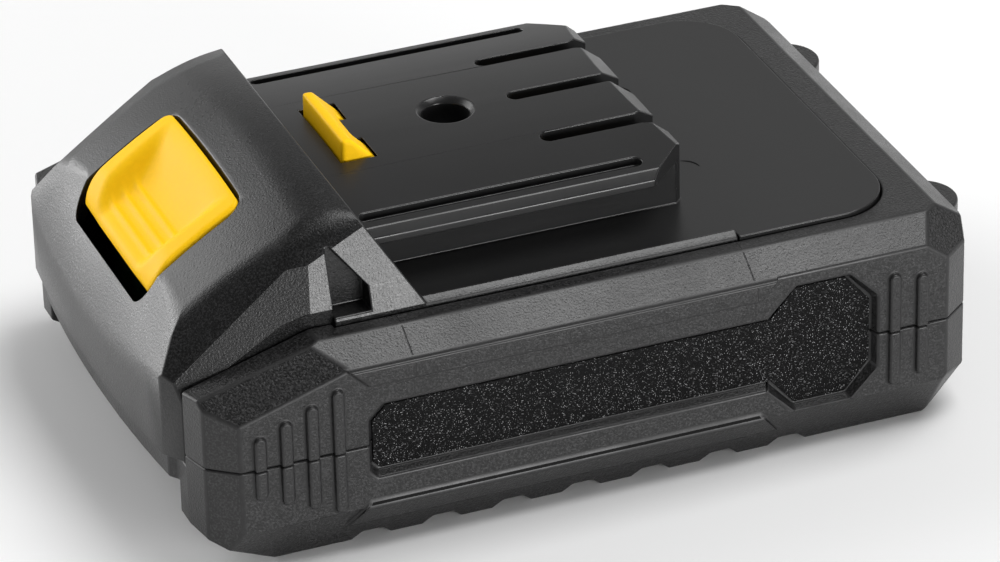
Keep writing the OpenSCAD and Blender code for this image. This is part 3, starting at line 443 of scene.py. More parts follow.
def blend_colours(tree, mask, low, high):
    node = tree.nodes.new("ShaderNodeMix")
    node.data_type = "RGBA"
    tree.links.new(mask, node.inputs["Factor"])
    for label, value in (("A", low), ("B", high)):
        socket = next(s for s in node.inputs if s.name == label and s.type == "RGBA")
        if isinstance(value, tuple):
            socket.default_value = value
        else:
            tree.links.new(value, socket)
    return next(s for s in node.outputs if s.type == "RGBA")


def bump(tree, height, distance, normal=None):
    node = tree.nodes.new("ShaderNodeBump")
    node.inputs["Strength"].default_value = 1.0
    node.inputs["Distance"].default_value = distance
    tree.links.new(height, node.inputs["Height"])
    if normal is not None:
        tree.links.new(normal, node.inputs["Normal"])
    return node.outputs[0]


def feed(tree, shader, base, rough, normal):
    """Connects a material's colour, roughness and normal to its shader"""
    tree.links.new(base, shader.inputs["Base Color"])
    tree.links.new(rough, shader.inputs["Roughness"])
    tree.links.new(normal, shader.inputs["Normal"])


def moulded_plastic(name, rgb, grain, depth, rough, spread, dull=0.75, lift=1.6, specular=0.5, seams=()):
    """Moulded plastic with eroded grain, smears in its gloss and mould seams at the given places; where lift
    is strong its lighter specks are painted glints
    """
    material, tree, shader, vector = new_material(name)
    grains = place_group(tree, "grain", Vector=vector, Size=grain)
    hands = place_group(tree, "handling", Vector=vector)
    # Specks lightened by lift and the rest dulled: grain tone, and with a strong lift also painted glints on
    # the grain
    base = blend_colours(tree, grains["Speck"], tint(rgb, dull), tint(rgb, lift))
    mixed = math_node(tree, "ADD", math_node(tree, "MULTIPLY", grains["Speck"], 0.5),
                      math_node(tree, "MULTIPLY", hands["Smear"], 0.5))
    gloss = map_range(tree, mixed, 0.0, 1.0, rough - spread, rough + spread)
    streaks = math_node(tree, "MULTIPLY", hands["Streak"], spread * STREAK_SHARE)
    gloss = math_node(tree, "SUBTRACT", gloss, streaks, clamp=True)
    normal = bump(tree, grains["Height"], depth)
    for place in seams:
        line = place_group(tree, "seam", Vector=vector, Place=place, Width=SEAM_WIDTH)["Line"]
        base = blend_colours(tree, line, base, tint(rgb, SEAM_TINT))
        normal = bump(tree, math_node(tree, "SUBTRACT", 1.0, line), SEAM_GROOVE, normal)
    feed(tree, shader, base, gloss, normal)
    shader.inputs["Specular IOR Level"].default_value = specular
    return material


def worn_and_highlit_edge(name, rgb, rough, gain):
    """The smoother rim of a moulding, where the grain is worn off, with its colour raised by gain as a
    painted highlight on the edge
    """
    material, tree, shader, vector = new_material(name)
    grains = place_group(tree, "grain", Vector=vector, Size=RIM_GRAIN)
    hands = place_group(tree, "handling", Vector=vector)
    # Colour raised by gain: a painted edge highlight over the worn rim
    base = blend_colours(tree, grains["Speck"], tint(rgb, gain * 0.9), tint(rgb, gain * 1.25))
    gloss = map_range(tree, hands["Smear"], 0.0, 1.0, rough - 0.06, rough + 0.08)
    feed(tree, shader, base, gloss, bump(tree, grains["Height"], RIM_DEPTH))
    shader.inputs["Specular IOR Level"].default_value = 0.4
    return material


def label_film(name, rgb, grain):
    """Bare black film with fine glitter, its shining grains painted light grey as glints"""
    material, tree, shader, vector = new_material(name)
    grains = place_group(tree, "glitter", Vector=vector, Size=grain)
    hands = place_group(tree, "handling", Vector=vector)
    # Shining grains painted light grey: painted glints
    base = blend_colours(tree, grains["Shine"], tint(rgb, 0.5), PAINTED_GLINT_COLOUR)
    gloss = map_range(tree, hands["Smear"], 0.0, 1.0, 0.40, 0.52)
    feed(tree, shader, base, gloss, bump(tree, grains["Height"], 0.00005))
    shader.inputs["Specular IOR Level"].default_value = 0.1
    return material


def metal(name, rgb, rough, tarnish=0.6):
    """Plated or rolled metal with fine lines and uneven tarnish"""
    material, tree, shader, vector = new_material(name)
    lines = place_group(tree, "drawn", Vector=vector)
    mask = map_range(tree, lines["Tarnish"], 0.35, 0.7, 0.0, 1.0, smooth=True)
    base = blend_colours(tree, mask, tint(rgb, 1.05), tint(rgb, tarnish))
    gloss = map_range(tree, lines["Line"], 0.3, 0.7, rough - 0.08, rough + 0.12)
    feed(tree, shader, base, gloss, bump(tree, lines["Line"], 0.000008))
    shader.inputs["Metallic"].default_value = 1.0
    return material


def shrink_wrap(name, rgb):
    """Glossy shrink sleeve with faint ripples"""
    material, tree, shader, vector = new_material(name)
    hands = place_group(tree, "handling", Vector=vector)
    ripple = noise(tree, vector, 420.0, 2.0, 0.5)
    base = blend_colours(tree, hands["Smear"], tint(rgb, 0.85), tint(rgb, 1.15))
    gloss = map_range(tree, hands["Smear"], 0.0, 1.0, 0.22, 0.36)
    feed(tree, shader, base, gloss, bump(tree, ripple, 0.00006))
    return material


def fibre_sheet(name, rgb):
    """Pressed fibre paper"""
    material, tree, shader, vector = new_material(name)
    grains = place_group(tree, "grain", Vector=vector, Size=0.0006)
    lines = place_group(tree, "drawn", Vector=vector)
    mask = math_node(tree, "MULTIPLY", grains["Speck"], lines["Line"])
    base = blend_colours(tree, mask, tint(rgb, 0.82), tint(rgb, 1.2))
    gloss = map_range(tree, lines["Tarnish"], 0.3, 0.7, 0.7, 0.9)
    feed(tree, shader, base, gloss, bump(tree, grains["Height"], 0.00003))
    return material


def printed_board(name, rgb):
    """Solder mask over a grid of tracks"""
    material, tree, shader, vector = new_material(name)
    tracks = voronoi(tree, stretched(tree, vector, (420.0, 420.0, 21.0)), 1.0, "DISTANCE_TO_EDGE")
    mask = map_range(tree, tracks.outputs["Distance"], 0.06, 0.12, 1.0, 0.0, smooth=True)
    hands = place_group(tree, "handling", Vector=vector)
    base = blend_colours(tree, mask, tint(rgb, 0.8), tint(rgb, 1.7))
    gloss = map_range(tree, hands["Smear"], 0.0, 1.0, 0.28, 0.42)
    feed(tree, shader, base, gloss, bump(tree, mask, 0.00003))
    return material


# Mesh helpers


def dress(node, materials):
    """Gives a carried-over node its materials"""
    mesh = NODES[node].data
    mesh.materials.clear()
    for material in materials:
        mesh.materials.append(material)
    for face in mesh.polygons:
        face.material_index = 0


def soften(obj, grid, repeats):
    """Rounds a piece all over, as on a soft moulding"""
    even = obj.modifiers.new("Even grid", "REMESH")
    even.mode = "VOXEL"
    even.voxel_size = grid
    even.use_smooth_shade = True
    soft = obj.modifiers.new("Soft edges", "SMOOTH")
    soft.factor = 0.5
    soft.iterations = repeats


def round_edges(node, width, rim_slot=-1, angle=28.0, segments=3):
    """Shades a carried-over node smooth and rounds its sharp edges with modifiers, on its mesh as packed"""
    obj = NODES[node]
    mesh = obj.data
    if "custom_normal" in mesh.attributes:
        mesh.attributes.remove(mesh.attributes["custom_normal"])
    mesh.shade_smooth()
    weld = obj.modifiers.new("Join seams", "WELD")
    weld.merge_threshold = WELD_GAP
    flat = obj.modifiers.new("Join flat faces", "DECIMATE")
    flat.decimate_type = "DISSOLVE"
    flat.angle_limit = FLAT_ANGLE
    soft = obj.modifiers.new("Rounded edges", "BEVEL")
    soft.limit_method = "ANGLE"
    soft.angle_limit = math.radians(angle)
    soft.width = width
    soft.segments = segments
    soft.use_clamp_overlap = False
    soft.miter_outer = "MITER_SHARP"
    soft.harden_normals = False
    soft.material = rim_slot
    even = obj.modifiers.new("Even shading", "WEIGHTED_NORMAL")
    even.keep_sharp = True
    even.weight = NORMAL_WEIGHT


def soft_low(a, b, width):
    """The lower of two heights, with a round bend where they cross"""
    share = max(width - abs(a - b), 0.0) / width
    return min(a, b) - share * share * width / 4.0


def loose_boxes(node):
    """Lowest and highest corner of every separate solid in a node"""
    bm = bmesh.new()
    bm.from_mesh(NODES[node].data)
    bmesh.ops.remove_doubles(bm, verts=bm.verts, dist=WELD_GAP)
    seen = set()
    boxes = []
    for start in bm.verts:
        if start in seen:
            continue
        stack = [start]
        seen.add(start)
        low = start.co.copy()
        high = start.co.copy()
        while stack:
            vert = stack.pop()
            for axis in range(3):
                low[axis] = min(low[axis], vert.co[axis])
                high[axis] = max(high[axis], vert.co[axis])
            for edge in vert.link_edges:
                other = edge.other_vert(vert)
                if other not in seen:
                    seen.add(other)
                    stack.append(other)
        boxes.append((low, high))
    bm.free()
    return boxes


def skin_rings(bm, rings):
    """Joins rings of equal count with quads and caps both ends"""
    rows = [[bm.verts.new(p) for p in ring] for ring in rings]
    count = len(rows[0])
    for a, b in zip(rows, rows[1:]):
        for i in range(count):
            j = (i + 1) % count
            bm.faces.new((a[i], a[j], b[j], b[i]))
    bm.faces.new(list(reversed(rows[0])))
    bm.faces.new(rows[-1])


def new_piece(name, bm, materials, smooth_angle=35.0):
    bmesh.ops.recalc_face_normals(bm, faces=bm.faces)
    mesh = bpy.data.meshes.new(name)
    bm.to_mesh(mesh)
    bm.free()
    for material in materials:
        mesh.materials.append(material)
    mesh.shade_smooth()
    mesh.set_sharp_from_angle(angle=math.radians(smooth_angle))
    piece = bpy.data.objects.new(name, mesh)
    bpy.context.scene.collection.objects.link(piece)
    return piece


def coil_rings(centre, low, high, mean_radius, wire_radius, turns):
    """Rings of a spring with closed ends, from its lowest to its highest point"""
    per_turn, sides, closed = 36, 12, 1.0
    dead = 2.0 * wire_radius * 1.03
    rise = high - low - 2.0 * wire_radius
    live = (rise - 2.0 * closed * dead) / (turns - 2.0 * closed)
    rings = []
    for i in range(int(turns * per_turn) + 1):
        t = i / per_turn
        if t < closed:
            climb = dead * t
        elif t > turns - closed:
            climb = rise - dead * (turns - t)
        else:
            climb = dead * closed + live * (t - closed)
        angle = 2.0 * math.pi * t
        ring = []
        for k in range(sides):
            b = 2.0 * math.pi * k / sides
            r = mean_radius + wire_radius * math.cos(b)
            ring.append(Vector((
                centre[0] + r * math.cos(angle), centre[1] + r * math.sin(angle),
                low + wire_radius + climb + wire_radius * math.sin(b),
            )))
        rings.append(ring)
    return rings


def screw_rings(x, y, seat, tip, head_radius, head_height, shank_radius, pitch):
    """Rings of a pan-head screw with a thread and a six-lobed drive, from its tip to the drive's floor"""
    sides = 36
    way = 1.0 if tip < seat else -1.0
    reach = abs(seat - tip)

    def ring(along, radius_at):
        points = []
        for k in range(sides):
            a = 2.0 * math.pi * k / sides
            r = radius_at(a)
            points.append(Vector((x + r * math.cos(a), y + way * r * math.sin(a), seat + way * along)))
        return points

    def plain(radius):
        return lambda a: radius

    def threaded(along):
        def at(a):
            phase = (along / pitch - a / (2.0 * math.pi)) % 1.0
            crest = max(0.0, 1.0 - abs(phase - 0.5) * 5.0)
            taper = min(1.0, (along + reach) / (1.6 * shank_radius) + 0.25)
            return shank_radius * taper * (0.76 + 0.24 * crest)
        return at

    def lobed(radius):
        return lambda a: radius * (0.86 + 0.14 * math.cos(6.0 * a))

    rings = [ring(-reach, plain(shank_radius * 0.18))]
    rows = max(8, int(reach / pitch * 10))
    for i in range(1, rows):
        along = -reach + reach * i / rows
        rings.append(ring(along, threaded(along)))
    rings.append(ring(0.0, plain(shank_radius)))
    drive = head_radius * 0.52
    for along, radius in HEAD_PROFILE:
        rings.append(ring(along * head_height, plain(radius * head_radius)))
    rings.append(ring(head_height, lobed(drive)))
    rings.append(ring(head_height * 0.94, lobed(drive * 0.97)))
    rings.append(ring(head_height * 0.42, lobed(drive * 0.92)))
    rings.append(ring(head_height * 0.36, plain(drive * 0.3)))
    return rings


# Operators


class PACK_OT_finish_case(bpy.types.Operator):
    """Gives both case halves their grained black and rounded edges, with rims painted lighter as an edge
    highlight and the lower case's step painted darker as shade
    """
    bl_idname = "battery_pack.finish_case"
    bl_label = "Finish Case"

    def execute(self, context):
        s = settings("pack_finish")
        # Strong lift: painted glints on the case's grain specks
        look = {"depth": 0.00006, "spread": 0.08, "dull": 0.5, "lift": 4.0}
        seams = (s.seam_front, s.seam_rear)
        lower = moulded_plastic("case_black_lower", s.case_colour, s.case_grain, rough=0.38, **look)
        upper = moulded_plastic("case_black_upper", s.case_colour, s.case_grain, rough=0.36,
                                seams=seams, **look)
        # Case rims painted lighter as an edge highlight
        rim = worn_and_highlit_edge("case_rim", s.case_colour, rough=0.40, gain=2.0)
        # Darker, duller material: painted shade on the lower case's step
        step = moulded_plastic("case_step", tint(s.case_colour, 0.4)[:3], s.case_grain,
                               depth=0.00003, rough=0.6, spread=0.05, specular=0.1)
        dress("lower_case", [lower, rim, step])
        dress("upper_case", [upper, rim])
        round_edges("lower_case", s.edge_round, RIM_HIGHLIGHT_SLOT, angle=27.0)
        round_edges("upper_case", s.edge_round, RIM_HIGHLIGHT_SLOT, angle=16.0)
        for face in NODES["lower_case"].data.polygons:
            up, across = face.normal.z, abs(face.normal.y)
            face.use_smooth = not CHAMFER_TILT[0] < up < CHAMFER_TILT[1]
            # Step faces take the painted shade
            if STEP_SHADE_TILT[0] < up < STEP_SHADE_TILT[1] and across > SIDE_FACING:
                face.material_index = STEP_SHADE_SLOT
        return {"FINISHED"}


class PACK_OT_finish_hood(bpy.types.Operator):
    """Gives the front hood its grained black and rounded edges, whose rims are painted lighter as an edge
    highlight
    """
    bl_idname = "battery_pack.finish_hood"
    bl_label = "Finish Hood"

    def execute(self, context):
        s = settings("pack_finish")
        # Strong lift: painted glints on the hood's grain specks
        body = moulded_plastic("hood_black", s.hood_colour, s.hood_grain,
                               depth=0.000035, rough=0.33, spread=0.05, dull=0.5, lift=4.5)
        # Hood rims painted lighter as an edge highlight
        rim = worn_and_highlit_edge("hood_rim", s.hood_colour, rough=0.38, gain=2.4)
        dress("front_hood", [body, rim])
        round_edges("front_hood", s.hood_round, RIM_HIGHLIGHT_SLOT, angle=42.0)
        for face in NODES["front_hood"].data.polygons:
            face.use_smooth = abs(face.normal.y) < SIDE_FACING
        return {"FINISHED"}


class PACK_OT_finish_deck(bpy.types.Operator):
    """Gives the slide deck its satin black, with rims painted lighter as an edge highlight, and adds the
    ejector marks behind the rail, painted dark as shadow lines
    """
    bl_idname = "battery_pack.finish_deck"
    bl_label = "Finish Deck"

    def execute(self, context):
        s = settings("pack_finish")
        d = settings("pack_detail")
        body = moulded_plastic("deck_black", s.deck_colour, s.deck_grain,
                               depth=0.000006, rough=0.33, spread=0.03, dull=0.92, lift=1.1, specular=0.4)
        # Near-black, dull ridges: painted shadow lines at the ejector marks' rims
        painted_mark_shadow = moulded_plastic("mark_black", tint(s.deck_colour, 0.3)[:3], s.deck_grain,
                               depth=0.00001, rough=0.7, spread=0.05, specular=0.1)
        # Deck rims painted lighter as an edge highlight
        rim = worn_and_highlit_edge("deck_rim", s.deck_colour, rough=0.28, gain=1.3)
        dress("slide_deck", [body, rim])
        round_edges("slide_deck", s.fine_round, RIM_HIGHLIGHT_SLOT)
        bm = bmesh.new()
        for y in (-d.near_mark, d.far_mark):
            self.add_mark(bm, d.mark_x, y, d.mark_radius, d.mark_turn)
        marks = new_piece("ejector_marks", bm, [painted_mark_shadow])
        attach(marks, "pack")
        return {"FINISHED"}

    def add_mark(self, bm, x, y, radius, turn):
        hit, place, _, _ = NODES["slide_deck"].ray_cast(Vector((x, y, 1.0)), Vector((0.0, 0.0, -1.0)))
        if not hit:
            raise RuntimeError("No deck under the ejector mark")
        rings = []
        for i in range(MARK_STEPS + 1):
            a = turn * i / MARK_STEPS
            fade = 0.15 + 0.85 * math.sin(math.pi * i / MARK_STEPS) ** 0.5
            ring = []
            for aside, rise in MARK_PROFILE:
                r = radius + aside * fade
                ring.append(Vector((x + r * math.cos(a), y + r * math.sin(a), place.z + rise * fade)))
            rings.append(ring)
        skin_rings(bm, rings)


class PACK_OT_mould_latch(bpy.types.Operator):
    """Moulds the release latch in satin yellow: the scooped thumb button, and the slide with its hook"""
    bl_idname = "battery_pack.mould_latch"
    bl_label = "Mould Latch"

    def execute(self, context):
        s = settings("pack_finish")
        b = settings("pack_button")
        yellow = moulded_plastic("latch_yellow", s.button_colour, grain=0.0005, depth=0.000008,
                                 rough=0.46, spread=0.04, dull=0.97, lift=1.0, specular=0.08)
        low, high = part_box("release_latch")
        button = new_piece("thumb_button", self.button_skin(b, low, high), [yellow], 60.0)
        wall = button.modifiers.new("Hollow", "SOLIDIFY")
        wall.thickness = b.shell
        wall.offset = -1.0
        slide = new_piece("latch_slide", self.slide_copy(low[0] + b.along), [yellow])
        soften(slide, s.slide_grid, SLIDE_PASSES)
        for piece in (button, slide):
            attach(piece, "latch")
        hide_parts("release_latch")
        return {"FINISHED"}

    def button_skin(self, b, low, high):
        """The button's outer skin: a grid over its plan, drawn into the scoop, with walls down to the foot"""
        half_x, half_y = b.along / 2.0, high[1]
        middle = low[0] + half_x
        columns, rows = BUTTON_CELLS
        side = half_y - SIDE_INSET
        crown = self.crown_line(low[0], b.along, side, columns)
        rear = middle + half_x - REAR_INSET
        drop = self.height(rear, 0.0) - self.height(rear, -half_y + CROWN_INSET)
        bm = bmesh.new()
        grid = []
        for i in range(columns + 1):
            line = []
            for j in range(rows + 1):
                x, y = self.rounded((2.0 * i / columns - 1.0) * half_x, (2.0 * j / rows - 1.0) * half_y,
                                    half_x, half_y, b.corner)
                place = min(max((x + half_x) / b.along * columns, 0.0), columns - 1e-6)
                first = int(place)
                rim = crown[first] + (crown[first + 1] - crown[first]) * (place - first)
                rim += drop * (1.0 - (y / side) ** 2)
                inside = self.inside(x, y, half_x, half_y, b.corner)
                z = self.top(b, x + half_x, y, rim, low[2] + b.front_height)
                if inside < b.edge:
                    z -= b.edge * (1.0 - math.sqrt(max(0.0, 1.0 - (1.0 - inside / b.edge) ** 2)))
                line.append(bm.verts.new((middle + x, y, z)))
            grid.append(line)
        for a, c in zip(grid, grid[1:]):
            for j in range(rows):
                bm.faces.new((a[j], c[j], c[j + 1], a[j + 1]))
        rim_loop = grid[0][:-1] + [line[-1] for line in grid[:-1]]
        rim_loop += grid[-1][:0:-1] + [line[0] for line in grid[:0:-1]]
        above = rim_loop
        for share in WALL_STEPS:
            below = []
            for vert in rim_loop:
                x, y, z = vert.co
                front = max(0.0, 1.0 - (x - low[0]) / half_x)
                below.append(bm.verts.new((x + WALL_LEAN * share * front, y, z + (low[2] - z) * share)))
            for k in range(len(rim_loop)):
                n = (k + 1) % len(rim_loop)
                bm.faces.new((above[k], above[n], below[n], below[k]))
            above = below
        return bm

    def height(self, x, y):
        hit, place, _, _ = NODES["release_latch"].ray_cast(Vector((x, y, 1.0)), Vector((0.0, 0.0, -1.0)))
        if not hit:
            raise RuntimeError("No latch under the point")
        return place.z

    def crown_line(self, front, along, side, columns):
        """Heights of the latch's rim along its side, carried on straight over the two ends"""
        first, last = CROWN_FIRST, along - CROWN_LAST

        def at(x):
            return self.height(front + x, -side)

        def carried(x):
            if x < first:
                return at(first) + (x - first) * (at(first + CROWN_STEP) - at(first)) / CROWN_STEP
            if x > last:
                return at(last) + (x - last) * (at(last) - at(last - CROWN_STEP)) / CROWN_STEP
            return at(x)

        return [carried(along * i / columns) for i in range(columns + 1)]

    def rounded(self, x, y, half_x, half_y, corner):
        """Moves a point of a rectangle into the same rectangle with round corners"""
        p = max(0.0, (abs(x) - half_x + corner) / corner)
        q = max(0.0, (abs(y) - half_y + corner) / corner)
        if p > 0.0 and q > 0.0:
            x = math.copysign(half_x - corner + corner * p * math.sqrt(1.0 - q * q / 2.0), x)
            y = math.copysign(half_y - corner + corner * q * math.sqrt(1.0 - p * p / 2.0), y)
        return x, y

    def inside(self, x, y, half_x, half_y, corner):
        """Distance of a point from the button's outline"""
        p, q = abs(x) - half_x + corner, abs(y) - half_y + corner
        return max(0.0, corner - math.hypot(max(p, 0.0), max(q, 0.0)) - min(max(p, q), 0.0))

    def top(self, b, x, y, rim, front):
        """Height of the button at a distance x behind its front edge"""
        floor = front + b.floor_slope * x
        ridged = floor
        for k in range(b.ridge_count):
            away = abs(x - b.ridge_first - k * b.ridge_pitch) / b.ridge_half
            if away < 1.0:
                ridged += b.ridge_height * (0.5 + 0.5 * math.cos(math.pi * away))
        wall = floor + b.wall_slope * (abs(y) - b.floor_half)
        rear = front + b.floor_slope * b.rear_foot + b.rear_slope * (x - b.rear_foot)
        scoop = -soft_low(soft_low(-ridged, -wall, b.foot_soft), -rear, b.foot_soft)
        return soft_low(soft_low(rim, front + b.front_slope * x, b.rim_soft), scoop, b.rim_soft)

    def slide_copy(self, rear):
        """The latch's own plate, hook and spring pins, without the button"""
        bm = bmesh.new()
        bm.from_mesh(NODES["release_latch"].data)
        bmesh.ops.remove_doubles(bm, verts=bm.verts, dist=WELD_GAP)
        button = [face for face in bm.faces if face.calc_center_median().x < rear + SLIDE_MARGIN]
        bmesh.ops.delete(bm, geom=button, context="FACES")
        bmesh.ops.holes_fill(bm, edges=[edge for edge in bm.edges if edge.is_boundary], sides=0)
        return bm


class PACK_OT_finish_labels(bpy.types.Operator):
    """Gives both bare labels their glittering black film"""
    bl_idname = "battery_pack.finish_labels"
    bl_label = "Finish Labels"

    def execute(self, context):
        s = settings("pack_finish")
        film = label_film("label_film", s.label_colour, s.label_grain)
        for node in ("label_near", "label_far"):
            dress(node, [film])
            round_edges(node, SLIGHT_ROUND)
        return {"FINISHED"}


class PACK_OT_wind_springs(bpy.types.Operator):
    """Winds both latch springs with closed ends"""
    bl_idname = "battery_pack.wind_springs"
    bl_label = "Wind Springs"

    def execute(self, context):
        d = settings("pack_detail")
        steel = metal("spring_steel", slot_colour("spring_steel"), 0.26)
        for side in ("near", "far"):
            node = "latch_spring_" + side
            low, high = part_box(node)
            centre = ((low[0] + high[0]) / 2.0, (low[1] + high[1]) / 2.0)
            outer = (high[1] - low[1]) / 2.0
            bm = bmesh.new()
            skin_rings(bm, coil_rings(centre, low[2], high[2], outer - d.wire / 2.0, d.wire / 2.0, d.turns))
            coil = new_piece("spring_coil_" + side, bm, [steel])
            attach(coil, "pack")
            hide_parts(node)
            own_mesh(coil)
        return {"FINISHED"}


class PACK_OT_drive_screws(bpy.types.Operator):
    """Builds the threaded screws of the case, the deck and the board"""
    bl_idname = "battery_pack.drive_screws"
    bl_label = "Drive Screws"

    def execute(self, context):
        d = settings("pack_detail")
        zinc = metal("zinc_screw", slot_colour("screws"), 0.30)
        for node, head_height, heads_up in (
            ("case_screws", d.head_height, False),
            ("deck_screw", d.head_height, True),
            ("board_screws", d.board_head_height, True),
        ):
            bm = bmesh.new()
            for low, high in loose_boxes(node):
                x, y = (low.x + high.x) / 2.0, (low.y + high.y) / 2.0
                head = (high.x - low.x) / 2.0
                shank = head * (0.6 if head > 0.002 else 0.47)
                if heads_up:
                    seat, tip = high.z - head_height, low.z
                else:
                    seat, tip = low.z + head_height, high.z
                pitch = d.thread * min(1.0, head / 0.0022)
                skin_rings(bm, screw_rings(x, y, seat, tip, head, head_height, shank, pitch))
            piece = new_piece(node + "_threaded", bm, [zinc])
            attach(piece, "pack")
            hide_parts(node)
        return {"FINISHED"}


class PACK_OT_finish_inside(bpy.types.Operator):
    """Gives the cells, holders, strips, sheets, board and contacts their finishes"""
    bl_idname = "battery_pack.finish_inside"
    bl_label = "Finish Inside"

    def execute(self, context):
        finishes = {
            "cell_wrap": shrink_wrap("cell_sleeve", slot_colour("cell_wrap")),
            "holder": moulded_plastic(
                "holder_blue", slot_colour("holder"), grain=0.0004, depth=0.00003, rough=0.5, spread=0.08,
            ),
            "nickel": metal("nickel_strip", slot_colour("nickel"), 0.28),
            "insulator": fibre_sheet("fibre_sheet", slot_colour("insulator")),
            "board": printed_board("board_green", slot_colour("board")),
            "components": moulded_plastic(
                "chip_black", slot_colour("components"), grain=0.0002, depth=0.00002, rough=0.45, spread=0.08,
            ),
            "block": moulded_plastic(
                "block_black", slot_colour("block"), grain=0.0003, depth=0.00003, rough=0.45, spread=0.08,
            ),
            "contact": metal("brass_contact", slot_colour("contact"), 0.24, 0.8),
            "sensor": shrink_wrap("sensor_dip", slot_colour("sensor")),
        }
        for part in frame["record"]["subparts"]:
            material = finishes.get(part["material_slot"])
            if material is None:
                continue
            dress(part["node"], [material])
            round_edges(part["node"], SLIGHT_ROUND, segments=2)
        return {"FINISHED"}


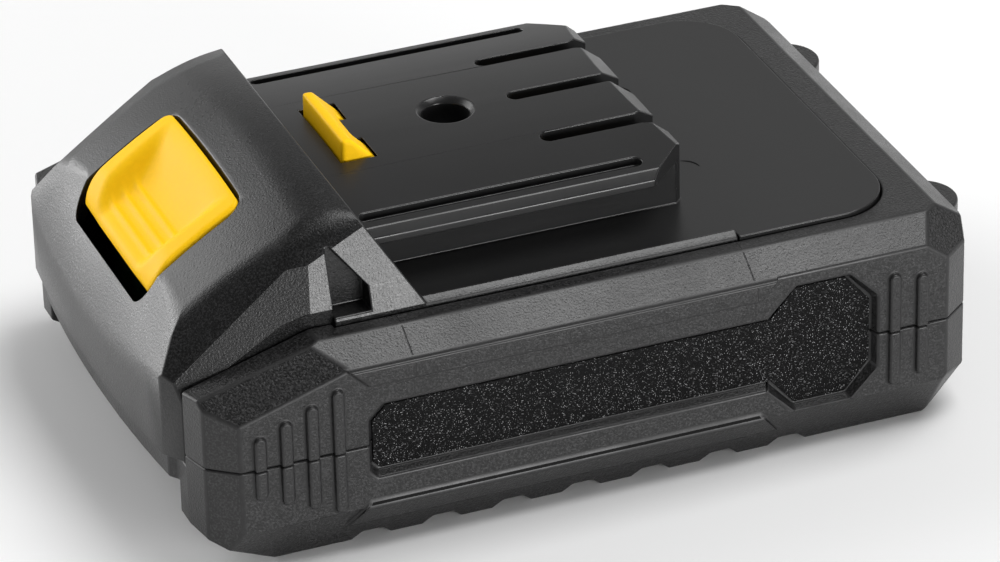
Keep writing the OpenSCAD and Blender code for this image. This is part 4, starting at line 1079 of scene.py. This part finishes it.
class PACK_OT_set_stage(bpy.types.Operator):
    """Sets the camera, the soft lights and the pale floor"""
    bl_idname = "battery_pack.set_stage"
    bl_label = "Set Stage"

    def execute(self, context):
        s = settings("pack_stage")
        scene = context.scene
        self.add_camera(scene, s)
        self.add_floor(s)
        self.add_world(scene)
        for name, place, size, power in LIGHTS:
            self.add_light(scene, name, place, size, getattr(s, power))
        scene.view_settings.view_transform = "Standard"
        return {"FINISHED"}

    def add_camera(self, scene, s):
        a, e, r = s.azimuth, s.elevation, s.roll
        back = Vector((math.sin(a) * math.cos(e), -math.cos(a) * math.cos(e), math.sin(e)))
        right = Vector((math.cos(a), math.sin(a), 0.0))
        up = back.cross(right)
        across = right * math.cos(r) + up * math.sin(r)
        upward = up * math.cos(r) - right * math.sin(r)
        place = Matrix((across, upward, back)).transposed().to_4x4()
        place.translation = back * s.distance + across * s.aside + upward * s.lift
        data = bpy.data.cameras.new("photo_camera")
        data.sensor_width = SENSOR_WIDTH
        data.lens = s.lens
        data.clip_start = CLIP_START
        camera = bpy.data.objects.new("photo_camera", data)
        scene.collection.objects.link(camera)
        camera.matrix_world = place
        scene.camera = camera

    def add_floor(self, s):
        material, tree, shader, vector = new_material("pale_floor")
        mottle = noise(tree, vector, 9.0, 2.0, 0.5)
        tree.links.new(blend_colours(tree, mottle, tint(s.floor_colour, 0.99), tint(s.floor_colour, 1.01)),
                       shader.inputs["Base Color"])
        tree.links.new(map_range(tree, mottle, 0.0, 1.0, 0.75, 0.85), shader.inputs["Roughness"])
        shader.inputs["Specular IOR Level"].default_value = 0.1
        bm = bmesh.new()
        corners = ((-1, -1), (1, -1), (1, 1), (-1, 1))
        bm.faces.new([bm.verts.new((x * FLOOR_HALF, y * FLOOR_HALF, -FLOOR_DROP)) for x, y in corners])
        floor = new_piece("floor", bm, [material])

    def add_world(self, scene):
        world = bpy.data.worlds.new("studio")
        world.use_nodes = True
        tree = world.node_tree
        direction = tree.nodes.new("ShaderNodeTexCoord")
        parts = tree.nodes.new("ShaderNodeSeparateXYZ")
        tree.links.new(direction.outputs["Generated"], parts.inputs[0])
        front = self.add_sky(tree, parts.outputs["Z"], FRONT_SKY)
        rear = self.add_sky(tree, parts.outputs["Z"], REAR_SKY)
        lean = math_node(tree, "MULTIPLY", parts.outputs["X"], SKY_LEAN)
        side = math_node(tree, "ADD", parts.outputs["Y"], lean)
        share = map_range(tree, side, *SKY_BLEND, 0.0, 1.0, smooth=True)
        mixed = blend_colours(tree, share, front, rear)
        background = tree.nodes["Background"]
        tree.links.new(mixed, background.inputs["Color"])
        background.inputs["Strength"].default_value = 1.0
        scene.world = world

    def add_sky(self, tree, height, stops):
        """A grey that changes with the height of the direction"""
        node = tree.nodes.new("ShaderNodeValToRGB")
        tree.links.new(height, node.inputs["Fac"])
        steps = node.color_ramp.elements
        while len(steps) < len(stops):
            steps.new(0.5)
        for step, (place, grey) in zip(steps, stops):
            step.position = place
            step.color = (grey, grey, grey, 1.0)
        return node.outputs["Color"]

    def add_light(self, scene, name, place, size, power):
        data = bpy.data.lights.new(name, "AREA")
        data.shape = "RECTANGLE"
        data.size, data.size_y = size
        data.energy = power
        light = bpy.data.objects.new(name, data)
        light.location = place
        light.rotation_euler = (Vector(LIGHT_AIM) - Vector(place)).to_track_quat("-Z", "Y").to_euler()
        scene.collection.objects.link(light)


OPERATORS = (
    PACK_OT_finish_case, PACK_OT_finish_hood, PACK_OT_finish_deck, PACK_OT_mould_latch, PACK_OT_finish_labels,
    PACK_OT_wind_springs, PACK_OT_drive_screws, PACK_OT_finish_inside, PACK_OT_set_stage,
)


class PACK_PT_looks(bpy.types.Panel):
    """Lists the settings and steps of the battery pack's looks"""
    bl_idname = "PACK_PT_looks"
    bl_label = "Battery Pack"
    bl_space_type = "VIEW_3D"
    bl_region_type = "UI"
    bl_category = "Battery Pack"

    def draw(self, context):
        for name, _ in POINTERS:
            box = self.layout.box()
            group = settings(name)
            for key in group.bl_rna.properties.keys():
                if key not in ("rna_type", "name"):
                    box.prop(group, key)
        for step in OPERATORS:
            self.layout.operator(step.bl_idname)


POINTERS = (
    ("pack_finish", PackFinishSettings), ("pack_button", PackButtonSettings),
    ("pack_detail", PackDetailSettings), ("pack_stage", PackStageSettings),
)
CLASSES = tuple(group for _, group in POINTERS) + OPERATORS + (PACK_PT_looks,)


def register():
    for entry in CLASSES:
        bpy.utils.register_class(entry)
    for name, group in POINTERS:
        setattr(bpy.types.Scene, name, bpy.props.PointerProperty(type=group))


def unregister():
    for name, _ in POINTERS:
        delattr(bpy.types.Scene, name)
    for entry in reversed(CLASSES):
        bpy.utils.unregister_class(entry)


def main():
    register()
    bpy.ops.battery_pack.finish_case()
    bpy.ops.battery_pack.finish_hood()
    bpy.ops.battery_pack.finish_deck()
    bpy.ops.battery_pack.mould_latch()
    bpy.ops.battery_pack.finish_labels()
    bpy.ops.battery_pack.wind_springs()
    bpy.ops.battery_pack.drive_screws()
    bpy.ops.battery_pack.finish_inside()
    bpy.ops.battery_pack.set_stage()


if __name__ == "__main__":
    main()
